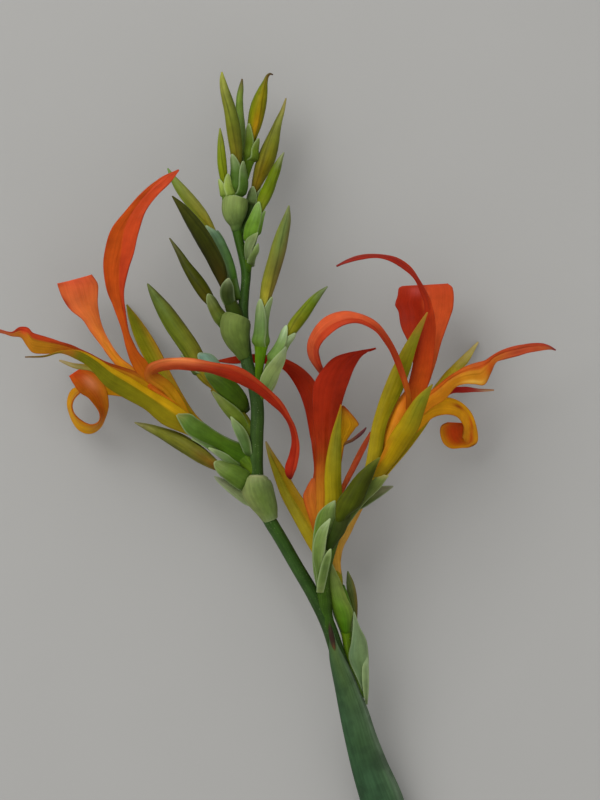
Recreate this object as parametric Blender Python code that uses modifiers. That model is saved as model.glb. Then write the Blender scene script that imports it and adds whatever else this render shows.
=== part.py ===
"""Flower head of a canna, picked and laid down: stalk, leaf sheath, fourteen buds and three open flowers.

The plan is drawn on a grid of small squares. Every station below gives its places as squares across
and squares down, its widths and radii in squares, and its heights in millimetres above a bed that
arches up from the surface towards the flowers.
"""

import math

import bmesh
import bpy
import numpy as np
from mathutils import Vector

SQUARE = 0.215e-3
MIDDLE_ACROSS = 271.55
MIDDLE_DOWN = 471.25
MILLIMETRE = 0.001
LEAF_THICKNESS = 0.6e-3
ARCH_HEIGHT = 6.5e-3
TOP_DROP = 3.0e-3
CUT_END = 864
FLOWERS_START = 470
FLOWERS_END = 380
GAP = 0.3e-3

GREEN = (0.05, 0.12, 0.03, 1.0)
GREY_GREEN = (0.05, 0.11, 0.05, 1.0)
OLIVE = (0.17, 0.19, 0.02, 1.0)
DARK_OLIVE = (0.05, 0.05, 0.01, 1.0)
GREEN_YELLOW = (0.22, 0.2, 0.01, 1.0)
ORANGE_RED = (0.55, 0.06, 0.01, 1.0)

# Stalk: across, down, height, radius, from the cut end to the top.
STEM = [
    (401, 864, 3.9, 8.5),
    (381, 800, 5.2, 8.5),
    (363, 740, 7.3, 8.2),
    (349, 690, 8.9, 7.8),
    (338, 655, 9.8, 7.6),
    (328, 625, 10.8, 7.2),
    (314, 596, 11.6, 6.9),
    (297, 567, 12.4, 6.6),
    (281, 539, 13.1, 6.6),
    (268, 517, 13.6, 6.8),
    (259, 495, 14.1, 6.9),
    (256.5, 470, 14.6, 6.9),
    (256.5, 440, 15.0, 6.9),
    (257.5, 410, 15.0, 6.7),
    (254, 385, 14.8, 6.5),
    (247, 362, 14.4, 6.3),
    (244.5, 340, 14.0, 6.0),
    (243, 312, 13.4, 5.5),
    (245, 290, 13.0, 4.6),
    (246, 272, 12.6, 5.0),
    (242.5, 255, 12.2, 4.6),
    (239, 240, 11.9, 4.7),
    (236, 225, 11.6, 4.8),
    (236, 205, 11.3, 4.8),
    (238, 190, 11.2, 4.4),
]

# Swollen cups: across, down, height, radius.
CUPS = [
    [
        (235.5, 229, 11.8, 4.8),
        (235.5, 224, 11.9, 8.0),
        (234.5, 216, 12.0, 11.4),
        (234, 208, 12.0, 13.0),
        (234.5, 201, 11.8, 13.2),
        (236, 196, 11.6, 11.8),
    ],
    [
        (244.5, 357, 14.4, 6.5),
        (240, 347, 14.7, 10.5),
        (236.5, 338, 14.9, 14.0),
        (235, 330, 14.9, 15.0),
        (235.5, 322, 14.7, 14.2),
        (237.5, 315, 14.4, 10.5),
    ],
    [
        (272, 529, 13.4, 7.0),
        (268, 519, 13.7, 9.6),
        (263, 507, 14.1, 13.6),
        (259, 495, 14.5, 16.4),
        (257, 483, 14.8, 14.0),
        (256, 474, 14.8, 11.4),
    ],
]

# Leaf sheath: across, down, height, radius across, radius up in millimetres.
SHEATH = [
    (401, 864, 3.7, 22.5, 4.3),
    (391, 832, 3.9, 22.0, 4.3),
    (381.5, 800, 5.2, 21.0, 4.0),
    (371, 770, 6.3, 19.3, 3.8),
    (361, 740, 7.4, 17.0, 3.5),
    (353, 714, 8.3, 13.8, 3.2),
    (344, 684, 9.0, 10.2, 3.0),
    (336.5, 660, 10.4, 7.2, 2.2),
    (333, 645, 11.4, 4.2, 1.3),
    (331.5, 630, 12.2, 2.2, 0.5),
]

# Buds. axis: base to tip. foot: from the swollen foot under the bud down to what carries it.
# sepals: angle round the axis (0 faces up, 90 faces right), start and end along it, half-width.
BUDS = {
    "bud_top_front": {
        "axis": [
            (238, 176, 11.2, 3.2),
            (237, 163, 11.5, 4.8),
            (235.8, 148, 11.9, 6.6),
            (233.2, 128, 12.6, 7.2),
            (230.4, 112, 13.4, 6.3),
            (227, 99, 14.1, 5.4),
            (224.6, 90, 14.6, 4.5),
            (222.6, 80, 15.1, 3.0),
            (221.9, 72, 15.5, 0.8),
        ],
        "foot": [(238.2, 178.5, 11.2, 6.2), (238, 186, 11.2, 7.4), (237, 197, 11.3, 5.0)],
        "sepals": [(-32, -10, 24, 7.0), (48, -12, 22, 6.5)],
    },
    "bud_top_back": {
        "axis": [
            (243, 150, 6.6, 4.0),
            (241.5, 130, 6.6, 5.0),
            (239.5, 112, 6.6, 4.8),
            (239.3, 98, 6.6, 4.0),
            (240.6, 88, 6.4, 3.0),
            (242, 78, 6.2, 0.8),
        ],
        "foot": [(243.1, 152.5, 6.6, 4.0), (243.2, 160, 7.0, 4.0), (240, 190, 10.8, 3.4)],
        "sepals": [],
    },
    "bud_top_hooked": {
        "axis": [
            (249.8, 148, 9.4, 3.2),
            (251, 136, 9.8, 5.2),
            (253.5, 124, 10.3, 7.3),
            (256.5, 111, 10.7, 8.0),
            (259.3, 100, 11.0, 7.4),
            (262, 90, 11.0, 5.5),
            (265.3, 81, 11.0, 2.8),
            (270.8, 74.5, 10.9, 0.8),
        ],
        "foot": [(249.6, 150.5, 9.4, 5.4), (249.2, 157, 9.5, 6.4), (247, 170, 9.9, 4.0), (241, 192, 10.9, 3.6)],
        "sepals": [(-62, -6, 26, 5.5), (60, -6, 17, 6.5)],
    },
    "bud_right_long": {
        "axis": [
            (254, 196, 9.0, 3.2),
            (256.5, 184, 8.9, 5.2),
            (261.5, 170, 8.6, 8.0),
            (265.5, 160, 8.4, 9.0),
            (269, 150, 8.1, 8.5),
            (272.4, 140, 7.8, 7.0),
            (275.5, 130, 7.5, 5.2),
            (278.8, 120, 7.2, 3.7),
            (282.5, 110, 6.8, 2.3),
            (286, 97.5, 6.2, 0.7),
        ],
        "foot": [(253.6, 198.3, 9.0, 4.6), (252.4, 204, 9.2, 5.0), (248, 216, 10.2, 3.2), (241, 234, 11.7, 3.0)],
        "sepals": [(-20, -5, 9, 5.5), (70, -5, 10, 5.0)],
    },
    "bud_right_short": {
        "axis": [
            (256.5, 220, 12.6, 3.2),
            (260, 209, 13.0, 4.4),
            (264, 199, 13.4, 6.2),
            (268, 190, 13.8, 6.3),
            (272, 180, 14.2, 5.5),
            (276, 170, 14.6, 4.8),
            (280.2, 160, 15.0, 2.7),
            (284, 152.5, 15.4, 0.7),
        ],
        "foot": [(255.6, 222.4, 12.6, 5.4), (253.6, 229, 12.6, 6.6), (251, 241, 12.7, 5.4),
                 (249, 257, 12.8, 4.2), (247, 273, 12.8, 4.0)],
        "sepals": [(-28, -10, 19, 6.8), (62, -8, 13, 6.0)],
    },
    "bud_left_small": {
        "axis": [
            (225.2, 187, 12.0, 2.8),
            (223.4, 176, 12.1, 4.2),
            (222.0, 164, 12.2, 4.8),
            (221.2, 152, 12.2, 4.2),
            (220.6, 140, 12.2, 3.0),
            (220, 128, 12.2, 0.7),
        ],
        "foot": [(225.6, 189.3, 12.0, 4.6), (227.2, 195, 12.0, 5.6), (228.5, 203, 12.0, 6.0)],
        "sepals": [(58, -5, 12, 5.0), (-58, -5, 9, 5.0)],
    },
    "bud_middle_back": {
        "axis": [
            (213, 231, 12.0, 3.0),
            (207, 222, 11.8, 4.8),
            (199.5, 212, 11.4, 6.2),
            (189, 199, 10.8, 6.4),
            (179.5, 187, 10.2, 5.2),
            (172.5, 177, 9.6, 3.0),
            (167.5, 168, 9.2, 0.7),
        ],
        "foot": [(214.3, 233, 12.0, 5.0), (218, 238.5, 12.1, 5.8), (224, 251, 12.2, 4.8), (230, 266, 12.5, 4.6),
                 (235, 284, 12.9, 4.4), (239, 302, 13.4, 4.2)],
        "sepals": [(-40, -8, 8, 5.5), (75, -8, 6, 5.0)],
    },
    "bud_middle_dark": {
        "axis": [
            (226.5, 293, 15.2, 3.2),
            (222.5, 282, 15.8, 5.0),
            (217, 269, 16.5, 7.2),
            (210.5, 256, 17.3, 7.8),
            (204, 244, 18.0, 8.2),
            (196.5, 232, 18.7, 7.8),
            (188.5, 220, 19.5, 6.4),
            (180.5, 208, 20.3, 4.0),
            (172.5, 196.5, 21.0, 0.7),
        ],
        "foot": [(227.4, 295.3, 15.2, 5.2), (230, 302, 15.1, 6.4), (235, 314, 14.8, 7.6), (238, 322, 14.6, 6.0)],
        "sepals": [(38, -8, 17, 6.5), (-60, -8, 10, 6.0)],
    },
    "bud_middle_front": {
        "axis": [
            (216.5, 312, 13.4, 3.0),
            (212, 304, 13.3, 4.6),
            (206, 295, 13.1, 6.6),
            (199.5, 285, 12.8, 7.0),
            (193, 275.5, 12.5, 6.2),
            (186, 265, 12.1, 4.7),
            (178.5, 252, 11.7, 3.0),
            (169.5, 238, 11.3, 0.7),
        ],
        "foot": [(217.7, 314, 13.4, 5.0), (221, 319, 13.6, 6.4), (229, 328, 14.4, 7.0)],
        "sepals": [(25, -7, 17, 5.8), (-62, -7, 8, 5.4)],
    },
    "bud_left_big": {
        "axis": [
            (216, 384, 12.2, 3.6),
            (208.5, 373.5, 12.0, 6.2),
            (200, 361, 11.7, 8.8),
            (191, 348, 11.3, 9.6),
            (182, 336, 10.9, 9.8),
            (173, 323, 10.4, 9.4),
            (164.5, 310, 9.9, 8.0),
            (156.5, 298, 9.4, 5.4),
            (151, 289.5, 9.0, 3.0),
            (147.3, 283.5, 8.7, 0.8),
        ],
        "foot": [(217.4, 386, 12.2, 7.2), (222, 393, 12.3, 9.4), (230, 405, 12.8, 8.6), (241, 422, 13.8, 6.4),
                 (253, 438, 14.8, 5.6)],
        "sepals": [(-72, -12, 22, 8.5), (82, -12, 33, 8.0), (10, -16, 3, 7.0)],
    },
    "bud_right_tall": {
        "axis": [
            (261.8, 334, 16.0, 3.2),
            (262.5, 322, 16.2, 4.6),
            (264, 308, 16.5, 5.0),
            (266, 296, 16.8, 6.0),
            (268.5, 285, 17.2, 7.2),
            (271.5, 274, 17.7, 7.8),
            (275.5, 260, 18.4, 8.0),
            (279, 247, 19.1, 7.8),
            (282.5, 234, 19.9, 6.6),
            (286.5, 220, 20.8, 4.5),
            (289, 206, 21.6, 0.7),
        ],
        "foot": [(261.6, 336.5, 16.0, 5.4), (261.4, 343, 16.0, 7.2), (260.5, 354, 15.8, 5.6), (259, 372, 15.5, 4.0),
                 (257.5, 396, 15.1, 3.8)],
        "sepals": [(-62, -12, 35, 9.5), (60, -12, 38, 8.0)],
    },
    "bud_right_low": {
        "axis": [
            (279.5, 352, 15.6, 3.2),
            (284, 343, 15.6, 4.4),
            (289.5, 333, 15.4, 5.6),
            (296, 323, 15.2, 6.6),
            (303.5, 313.5, 14.8, 6.3),
            (311.5, 303, 14.3, 5.2),
            (319.5, 294, 13.8, 3.3),
            (327.5, 286.5, 13.4, 0.7),
        ],
        "foot": [(278.3, 354.2, 15.6, 5.2), (275, 361, 15.6, 7.0), (269, 373, 15.4, 6.2), (262, 388, 15.2, 4.8),
                 (258, 404, 15.0, 4.4)],
        "sepals": [(-50, -10, 25, 7.0), (48, -10, 26, 7.0)],
    },
    "bud_under_left_flower": {
        "axis": [
            (225, 470, 14.8, 3.4),
            (214, 464, 14.4, 5.6),
            (203, 456.5, 13.8, 7.8),
            (192, 449, 13.0, 8.4),
            (177, 440, 12.0, 8.0),
            (161, 432.5, 11.0, 5.6),
            (147, 427, 10.0, 3.6),
            (134.5, 422.5, 9.2, 0.7),
        ],
        "foot": [(227, 471, 14.8, 5.6), (233, 474.5, 14.9, 7.6), (244, 482, 14.8, 9.0), (255, 490, 14.6, 8.0)],
        "sepals": [(62, -8, 23, 8.5), (-62, -8, 15, 8.0)],
    },
    "bud_lowest": {
        "axis": [
            (354.5, 622, 6.2, 2.8),
            (353.5, 608, 6.2, 4.4),
            (352, 595, 6.2, 4.8),
            (350, 583, 6.2, 3.8),
            (347.8, 571.5, 6.2, 0.7),
        ],
        "foot": [(354.6, 624.5, 6.2, 3.8), (354.6, 634, 6.6, 4.4), (354, 656, 8.0, 4.0)],
        "sepals": [],
    },
}

# Leaves below are stations from foot to tip: left edge across, down, height, right edge across, down,
# height, and how far the middle stands out in millimetres.
BRACTS = {
    "right_branch_low": [
        (247, 266, 13.2, 254, 266, 13.0, 0.3),
        (248, 256, 14.2, 255.5, 258, 13.8, 0.5),
        (252, 250, 14.4, 258.8, 251, 13.9, 0.3),
        (257.5, 243.5, 14.4, 258.5, 243.5, 14.2, 0.0),
    ],
    "right_branch_high": [
        (246, 262, 13.6, 251, 262, 13.8, 0.2),
        (244.6, 249, 14.2, 252, 251, 14.6, 0.4),
        (247, 239, 14.5, 256, 240, 14.8, 0.3),
        (257.5, 232.5, 14.6, 258.3, 232.8, 14.6, 0.0),
    ],
    "big_bud_front": [
        (241, 422, 14.6, 246, 414, 14.6, 0.3),
        (229, 413, 14.9, 238, 402, 14.7, 0.5),
        (219, 402, 14.8, 226, 394, 14.6, 0.4),
        (212, 391.5, 14.6, 212.8, 391, 14.6, 0.0),
    ],
    "stem_left": [
        (244, 458, 15.4, 254, 458, 16.2, 0.2),
        (238.5, 442, 15.4, 249.5, 441, 16.5, 0.5),
        (232.5, 428, 15.2, 244, 428, 16.3, 0.3),
        (231.8, 417, 15.2, 232.6, 417, 15.3, 0.0),
    ],
    "low_bud_right": [
        (258, 392, 15.6, 268, 395, 15.4, 0.3),
        (262, 374, 17.2, 276, 381, 16.6, 0.6),
        (275, 357, 17.6, 284.5, 362, 16.8, 0.4),
        (285.6, 346.5, 17.4, 286.6, 347.5, 17.2, 0.0),
    ],
    "low_bud_thin": [
        (262, 396, 14.6, 268, 398, 14.2, 0.2),
        (270, 382, 14.9, 275.5, 385, 14.3, 0.3),
        (280.5, 367, 14.8, 281.5, 367.6, 14.7, 0.0),
    ],
    "left_flower_big": [
        (240, 464, 14.6, 246, 446, 14.6, 1.0),
        (228, 457, 15.0, 232, 440, 15.0, 1.2),
        (213, 447, 15.2, 217, 432, 15.2, 1.1),
        (196, 440, 15.8, 204, 422.5, 15.8, 0.8),
        (184, 430, 16.3, 196, 418.5, 16.3, 0.5),
        (176.5, 415.5, 16.6, 188, 413.5, 16.6, 0.2),
    ],
    "left_flower_thin": [
        (254, 508, 14.6, 254, 494, 14.8, 0.2),
        (243, 503, 12.6, 243, 489, 12.8, 0.5),
        (230, 493, 12.4, 233, 484.5, 12.4, 0.4),
        (219, 483.5, 12.4, 222, 478.5, 12.4, 0.2),
        (213.8, 476.6, 12.4, 214.4, 475.8, 12.4, 0.0),
    ],
    "centre_flower_front": [
        (330, 607, 10.4, 348, 605, 10.4, 0.6),
        (328, 590, 11.6, 344, 592, 11.4, 0.7),
        (328.4, 576, 12.5, 338, 577, 12.3, 0.4),
        (330.5, 564.5, 13.2, 333, 564.5, 13.2, 0.0),
    ],
    "right_flower_low": [
        (317, 602, 12.0, 328, 600, 12.0, 0.3),
        (319, 582, 14.6, 330, 580, 14.4, 0.5),
        (324, 564, 16.4, 333, 564, 16.2, 0.3),
        (329.6, 549, 16.7, 330.6, 549, 16.7, 0.0),
    ],
    "right_flower_left": [
        (315, 592, 12.6, 324, 592, 12.6, 0.3),
        (313, 562, 16.2, 322, 564, 16.4, 0.5),
        (314.8, 540, 17.6, 327, 541, 17.9, 0.5),
        (321.5, 526, 18.2, 329.5, 529, 18.4, 0.2),
        (329.6, 518, 18.4, 330.4, 518, 18.4, 0.0),
    ],
    "right_flower_middle": [
        (314, 572, 13.8, 326, 572, 14.4, 0.4),
        (312.6, 541, 15.8, 333, 541, 16.2, 0.7),
        (316.5, 516.5, 16.3, 335.5, 518, 16.6, 0.6),
        (326, 505, 16.6, 336, 507, 16.8, 0.2),
        (334.6, 500, 16.8, 335.4, 500, 16.8, 0.0),
    ],
    "right_flower_big": [
        (333, 534, 17.2, 352, 534, 17.2, 0.6),
        (335.5, 506, 18.6, 355.5, 510, 18.8, 0.9),
        (345.5, 486, 19.4, 365, 497, 19.6, 0.8),
        (359.5, 472.5, 19.9, 371.5, 480, 20.0, 0.5),
        (379.5, 457, 20.2, 380.3, 457.4, 20.2, 0.0),
    ],
    "right_flower_side": [
        (343.4, 535, 16.5, 352.6, 537, 15.3, 0.3),
        (357, 514, 18.3, 366, 514, 15.2, 0.7),
        (368.9, 495, 18.0, 379.9, 498, 15.7, 0.5),
        (390, 474, 17.2, 391, 474.5, 17.0, 0.0),
    ],
    "right_flower_under": [
        (342, 532, 14.6, 352, 534, 14.0, 0.3),
        (352, 514, 13.5, 360, 516, 12.7, 0.5),
        (368, 499, 13.4, 374, 502, 12.7, 0.3),
        (391.4, 485.6, 13.2, 392, 486.4, 13.1, 0.0),
    ],
    "lowest_pair": [
        (361.5, 692, 8.6, 368, 690, 8.4, 0.1),
        (356, 671, 10.2, 367, 668, 9.8, 0.5),
        (351, 650, 10.6, 366, 647, 10.2, 0.6),
        (354.5, 632, 10.6, 362.5, 631, 10.4, 0.3),
        (356.2, 613, 10.4, 357.2, 613, 10.4, 0.0),
    ],
    "lowest_thin": [
        (365, 703, 7.8, 369, 703, 7.4, 0.1),
        (363, 686, 7.8, 369, 686, 7.2, 0.3),
        (362.5, 668, 7.8, 368, 668, 7.3, 0.2),
        (364.8, 653, 7.6, 365.6, 653, 7.6, 0.0),
    ],
}

# Branches that carry the flowers: across, down, height, radius.
BRANCHES = [
    [(256, 470, 14.6, 6.0), (248, 459, 14.0, 7.6), (237, 453, 13.6, 8.4), (227.5, 448.5, 13.2, 6.4)],
    [(321, 596, 12.2, 5.5), (326, 572, 14.0, 5.5), (335, 548, 15.6, 8.0), (341, 532, 16.2, 9.4),
     (347, 519, 16.3, 7.4)],
    [(355, 714, 8.0, 4.4), (360, 694, 8.6, 4.6), (357, 676, 8.7, 4.4), (349, 645, 8.9, 4.6),
     (344, 626, 9.1, 6.6), (341, 612, 9.3, 9.0), (339, 598, 9.4, 6.8)],
]

# Flowers. tube: solid foot of the petals. core: solid foot of the staminodes.
FLOWERS = {
    "left_flower": {
        "tube": [(225, 447.3, 13.1, 4.6), (212, 441, 12.8, 6.6), (201, 434, 12.6, 7.2)],
        "petals": [
            [
                (200, 439, 13.2, 206, 427, 13.2, 0.6),
                (184, 433, 14.4, 192, 416, 14.3, 0.8),
                (163, 424, 14.9, 172, 402, 14.9, 1.0),
                (145, 409, 15.4, 152, 391, 15.4, 0.9),
                (125, 398, 16.2, 131, 378, 16.2, 0.8),
                (106, 386, 17.2, 114, 369, 17.2, 0.6),
                (90, 367, 18.4, 95, 355.5, 18.4, 0.4),
                (76, 359, 19.5, 80, 349.5, 19.5, 0.2),
                (60, 354.5, 20.6, 62, 350.5, 20.6, 0.0),
                (45, 357, 21.4, 46, 354, 21.4, 0.0),
                (26, 359.5, 21.8, 26, 356.5, 21.8, 0.0),
            ],
            [
                (198, 440, 12.0, 204, 428, 12.0, -0.4),
                (178, 428, 9.4, 186, 412, 9.4, -0.5),
                (158, 414, 7.6, 166, 396, 7.6, -0.5),
                (135, 398, 6.0, 142, 382, 6.0, -0.4),
                (112, 385, 4.0, 117, 371, 4.0, -0.3),
                (88, 373, 1.5, 90, 364, 1.5, -0.2),
                (72, 368, -0.5, 74, 360.5, -0.5, 0.0),
                (57, 361, -2.0, 58, 358.5, -2.0, 0.0),
            ],
            [
                (200, 437, 12.2, 207, 426, 12.2, -0.3),
                (184, 423, 9.9, 195, 414, 10.1, -0.5),
                (168, 398, 7.6, 183, 396, 8.0, -0.5),
                (153, 374, 5.2, 172, 376, 5.6, -0.5),
                (143, 356, 2.6, 162, 355, 3.0, -0.5),
                (134, 337, -0.2, 152, 338, 0.1, -0.4),
                (128.5, 320, -3.0, 141, 321, -2.8, -0.2),
                (125.3, 305, -5.85, 126.6, 304, -5.75, 0.0),
            ],
        ],
        "core": [(193, 427, 12.3, 3.8), (182, 417, 12.3, 5.4), (170, 405, 12.4, 5.8), (158, 393, 12.5, 5.6),
                 (149, 384, 12.6, 4.0)],
        "blades": [
            [
                (152, 396, 12.6, 162, 388, 12.6, 0.2),
                (134, 368, 13.2, 147, 363, 13.2, 0.3),
                (127, 350, 14.2, 138, 349, 14.2, 0.3),
                (120.5, 330, 15.4, 130.5, 330, 15.4, 0.2),
                (112.5, 310, 16.9, 125.5, 310, 16.7, -0.2),
                (107.5, 290, 18.6, 124.8, 291, 18.2, -0.5),
                (104, 270, 20.3, 128, 271, 19.7, -0.8),
                (105.5, 252, 21.7, 133.5, 254, 21.1, -0.9),
                (112, 229, 22.7, 139.5, 231, 22.1, -0.8),
                (127, 210, 23.2, 146, 212, 22.8, -0.5),
                (142, 193, 23.4, 158, 197, 23.0, -0.3),
                (160, 178.5, 23.1, 170, 183.5, 22.9, 0.0),
                (178.3, 170, 22.8, 179.6, 171.2, 22.8, 0.0),
            ],
            [
                (148, 399, 12.2, 158, 388, 12.2, 0.1),
                (124, 376, 11.7, 136, 368, 11.9, 0.2),
                (108, 359, 11.1, 124, 359, 11.2, 0.3),
                (98, 342, 10.4, 110, 343, 10.4, 0.3),
                (90, 331, 9.7, 104, 332, 9.5, 0.4),
                (80, 318, 9.0, 100, 319, 8.6, 0.6),
                (69, 308, 8.5, 98.4, 307, 7.9, 0.8),
                (62, 297, 8.2, 98, 297, 7.4, 0.8),
                (57, 285, 8.3, 96.5, 283, 7.3, 0.5),
                (60, 280.5, 8.7, 90, 274.5, 7.7, 0.2),
            ],
            [
                (178, 411, 12.5, 187, 404, 12.3, 0.1),
                (163, 392, 13.6, 173, 385, 13.2, 0.3),
                (145, 379, 16.0, 160, 374, 15.6, 0.4),
                (147, 364, 18.5, 157, 373, 17.5, 0.5),
                (163, 358, 20.8, 166, 371.5, 19.6, 0.6),
                (180, 357, 22.4, 180, 370.5, 21.2, 0.7),
                (198, 359, 23.7, 196, 371.5, 22.3, 0.8),
                (217, 361.5, 24.6, 213, 375.5, 23.2, 0.8),
                (235, 366.5, 25.1, 230, 382, 23.6, 0.8),
                (251, 375, 25.1, 245, 389, 23.6, 0.8),
                (265, 385.5, 24.7, 259, 396, 23.2, 0.6),
                (278, 398, 23.9, 271, 404, 22.5, 0.5),
                (288, 412, 22.6, 281, 413, 21.4, 0.5),
                (295.5, 425, 21.2, 290, 426, 20.0, 0.4),
                (299.5, 441, 19.5, 292, 441, 18.5, 0.4),
                (298.4, 456, 17.7, 289.5, 457, 16.7, 0.4),
                (294, 470, 15.8, 286, 468, 15.0, 0.3),
                (290.6, 479, 14.0, 288.8, 479, 13.9, 0.0),
            ],
            [
                (150, 394, 12.8, 156, 384, 12.8, 0.2),
                (128, 383, 13.3, 134, 371, 13.3, 0.2),
                (104, 371, 14.0, 106, 361.5, 14.0, 0.2),
                (88, 362, 14.8, 90, 353.5, 14.8, 0.2),
                (72, 355, 15.6, 74, 345.5, 15.6, 0.2),
                (60, 354, 16.2, 61, 340.8, 16.2, 0.3),
                (45, 354.5, 16.8, 46, 336, 16.8, 0.3),
                (31, 348, 17.1, 32, 332, 17.3, 0.2),
                (22, 336, 17.3, 22, 327.5, 17.4, 0.0),
                (8, 333, 17.8, 8, 329.5, 17.8, 0.0),
                (-12, 331.5, 18.4, -12, 328.5, 18.4, 0.0),
            ],
            [
                (154, 402, 11.8, 160, 392, 12.0, 0.1),
                (136, 399, 10.8, 141, 388, 11.2, 0.1),
                (118, 396, 8.8, 121, 386, 10.2, 0.1),
                (101, 393, 5.6, 102, 385, 8.6, 0.1),
                (85, 390, 3.2, 87, 385, 7.0, 0.1),
                (71, 392, 1.6, 77, 395, 5.6, 0.1),
                (65.5, 407, 0.7, 72, 405, 4.8, 0.1),
                (69, 421, 0.3, 75, 415.5, 4.4, 0.1),
                (79, 430.5, 0.3, 83, 422.5, 4.2, 0.1),
                (91, 433, 0.3, 92, 424, 4.6, 0.1),
                (101, 427, 1.0, 97.5, 419, 5.6, 0.1),
                (106.5, 414, 3.2, 96, 409, 7.2, 0.2),
                (107, 398, 6.2, 88, 399, 9.0, 0.4),
                (102, 383, 8.8, 78, 391, 10.2, 0.6),
                (92, 371.5, 10.2, 71, 380, 10.8, 0.4),
                (81, 369, 10.8, 69.5, 374, 11.0, 0.0),
            ],
        ],
    },
    "centre_flower": {
        "tube": [(338.5, 594, 9.4, 4.6), (337, 580, 9.5, 5.8), (333.5, 564, 9.7, 6.8)],
        "petals": [
            [
                (324, 570, 8.6, 337, 563, 8.6, -0.2),
                (312, 552, 7.7, 327, 538, 7.5, -0.3),
                (302, 532, 7.0, 315, 522, 6.8, -0.4),
                (292, 514, 6.1, 305, 504, 5.9, -0.4),
                (284, 496, 4.7, 295, 489, 4.5, -0.4),
                (275, 475, 3.0, 285, 473, 3.0, -0.3),
                (269, 458, 1.2, 275, 457, 1.1, -0.1),
                (265.4, 443.5, -0.5, 267, 443, -0.5, 0.0),
            ],
            [
                (328, 574, 10.2, 341, 574, 10.2, 0.3),
                (323, 550, 12.0, 340, 550, 12.0, 0.6),
                (322.5, 525, 12.9, 340, 525, 12.9, 0.7),
                (325, 500, 13.8, 342, 500, 13.8, 0.8),
                (325, 476, 15.0, 341, 477, 15.0, 0.8),
                (327, 455, 16.0, 341, 455, 16.0, 0.6),
                (331, 435, 16.8, 341, 435, 16.8, 0.3),
                (337, 416, 17.4, 341.4, 416, 17.4, 0.0),
                (340.4, 404.5, 17.8, 341.6, 404.5, 17.8, 0.0),
            ],
            [
                (332, 572, 9.6, 342, 572, 9.6, 0.0),
                (338, 547, 9.4, 346, 545, 9.0, -0.3),
                (343.5, 529, 8.6, 353, 529, 8.2, -0.3),
                (352.5, 514, 7.8, 361, 511, 7.4, -0.3),
                (364, 496, 6.5, 370, 493, 6.3, -0.2),
                (375, 478, 5.0, 376.4, 477, 5.0, 0.0),
            ],
        ],
        "core": [(331, 556, 9.9, 3.8), (327.5, 542, 9.9, 5.2), (324.5, 525, 10.0, 5.6), (323, 508, 10.2, 4.6)],
        "blades": [
            [
                (317, 530, 10.4, 331, 530, 10.4, 0.1),
                (316, 500, 10.8, 331, 500, 10.8, 0.3),
                (316, 475, 11.4, 332, 475, 11.4, 0.3),
                (316, 450, 12.1, 334, 450, 11.9, 0.3),
                (314, 425, 12.9, 338, 425, 12.7, 0.3),
                (312.5, 403, 13.9, 342, 403, 13.5, 0.3),
                (314, 384, 14.8, 348, 384, 14.4, 0.2),
                (323, 370, 15.6, 354, 369, 15.1, 0.1),
                (334, 359, 16.2, 361, 357.5, 15.8, 0.0),
                (352, 352.6, 16.3, 368, 352, 16.1, 0.0),
                (375.5, 347.8, 16.1, 376.2, 349.2, 15.9, 0.0),
            ],
            [
                (315, 520, 9.8, 328, 520, 9.8, 0.0),
                (312, 492, 9.0, 326, 492, 9.0, 0.0),
                (314, 465, 8.2, 327, 462, 8.2, 0.0),
                (310, 435, 7.5, 327, 430, 7.7, 0.2),
                (303.5, 404, 6.9, 322, 398, 7.1, 0.3),
                (293, 381, 6.8, 310, 375, 6.9, 0.3),
                (281, 368, 7.0, 290, 361, 7.0, 0.2),
                (268, 364, 7.6, 272, 356, 7.6, 0.1),
                (252, 362.5, 8.4, 254, 354, 8.4, 0.1),
                (234, 363.5, 8.8, 236, 356, 8.8, 0.0),
                (217, 361.8, 9.0, 217, 360.4, 9.0, 0.0),
            ],
            [
                (322, 520, 9.8, 333, 520, 9.8, 0.0),
                (330, 490, 9.7, 341, 488, 9.5, 0.0),
                (335, 465, 10.0, 347, 462, 9.7, -0.2),
                (338, 445, 10.3, 354, 441, 10.1, -0.3),
                (339, 425, 10.8, 359.5, 425, 10.8, -0.3),
                (340, 409, 11.2, 351, 412, 11.2, 0.0),
            ],
            [
                (325, 528, 10.4, 334, 528, 10.0, 0.0),
                (337.5, 492, 10.9, 344, 490, 10.5, 0.0),
                (345, 472, 11.1, 350.5, 476, 10.7, 0.0),
                (352, 458, 11.1, 357.5, 463, 10.8, 0.0),
                (360, 443, 11.1, 365, 448, 10.8, 0.0),
                (369, 431, 11.0, 372, 434, 10.9, 0.0),
            ],
        ],
    },
    "right_flower": {
        "tube": [(350.5, 513, 16.4, 4.6), (361, 494, 16.6, 6.0), (371, 475.5, 16.8, 7.2)],
        "petals": [
            [
                (360, 488, 16.8, 372, 484, 17.0, 0.2),
                (366, 463, 17.8, 382, 456, 18.0, 0.5),
                (371, 431, 17.8, 386, 426, 17.8, 0.6),
                (376, 412, 17.6, 393, 407, 17.6, 0.6),
                (382, 393, 17.6, 400, 390, 17.6, 0.6),
                (390, 373, 17.6, 409, 368, 17.6, 0.5),
                (402, 350, 18.0, 416, 348, 18.0, 0.3),
                (412, 333, 18.6, 421, 332, 18.6, 0.1),
                (426.3, 312.5, 19.6, 427.7, 312.5, 19.6, 0.0),
            ],
            [
                (363, 484, 17.2, 374, 486, 16.8, 0.2),
                (377, 458, 18.4, 393, 462, 18.0, 0.5),
                (385, 435, 19.3, 407, 440, 19.1, 0.8),
                (395, 420, 20.1, 417, 425, 19.9, 0.7),
                (407, 407, 20.9, 424, 408, 20.8, 0.4),
                (419, 396, 21.4, 429, 394, 21.4, 0.2),
                (431.4, 384.6, 22.0, 432.6, 385.6, 22.0, 0.0),
            ],
            [
                (366, 486, 16.0, 378, 486, 16.0, 0.0),
                (378, 463, 13.9, 392, 469, 13.9, -0.4),
                (393, 441, 11.8, 409, 449, 11.8, -0.5),
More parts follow.
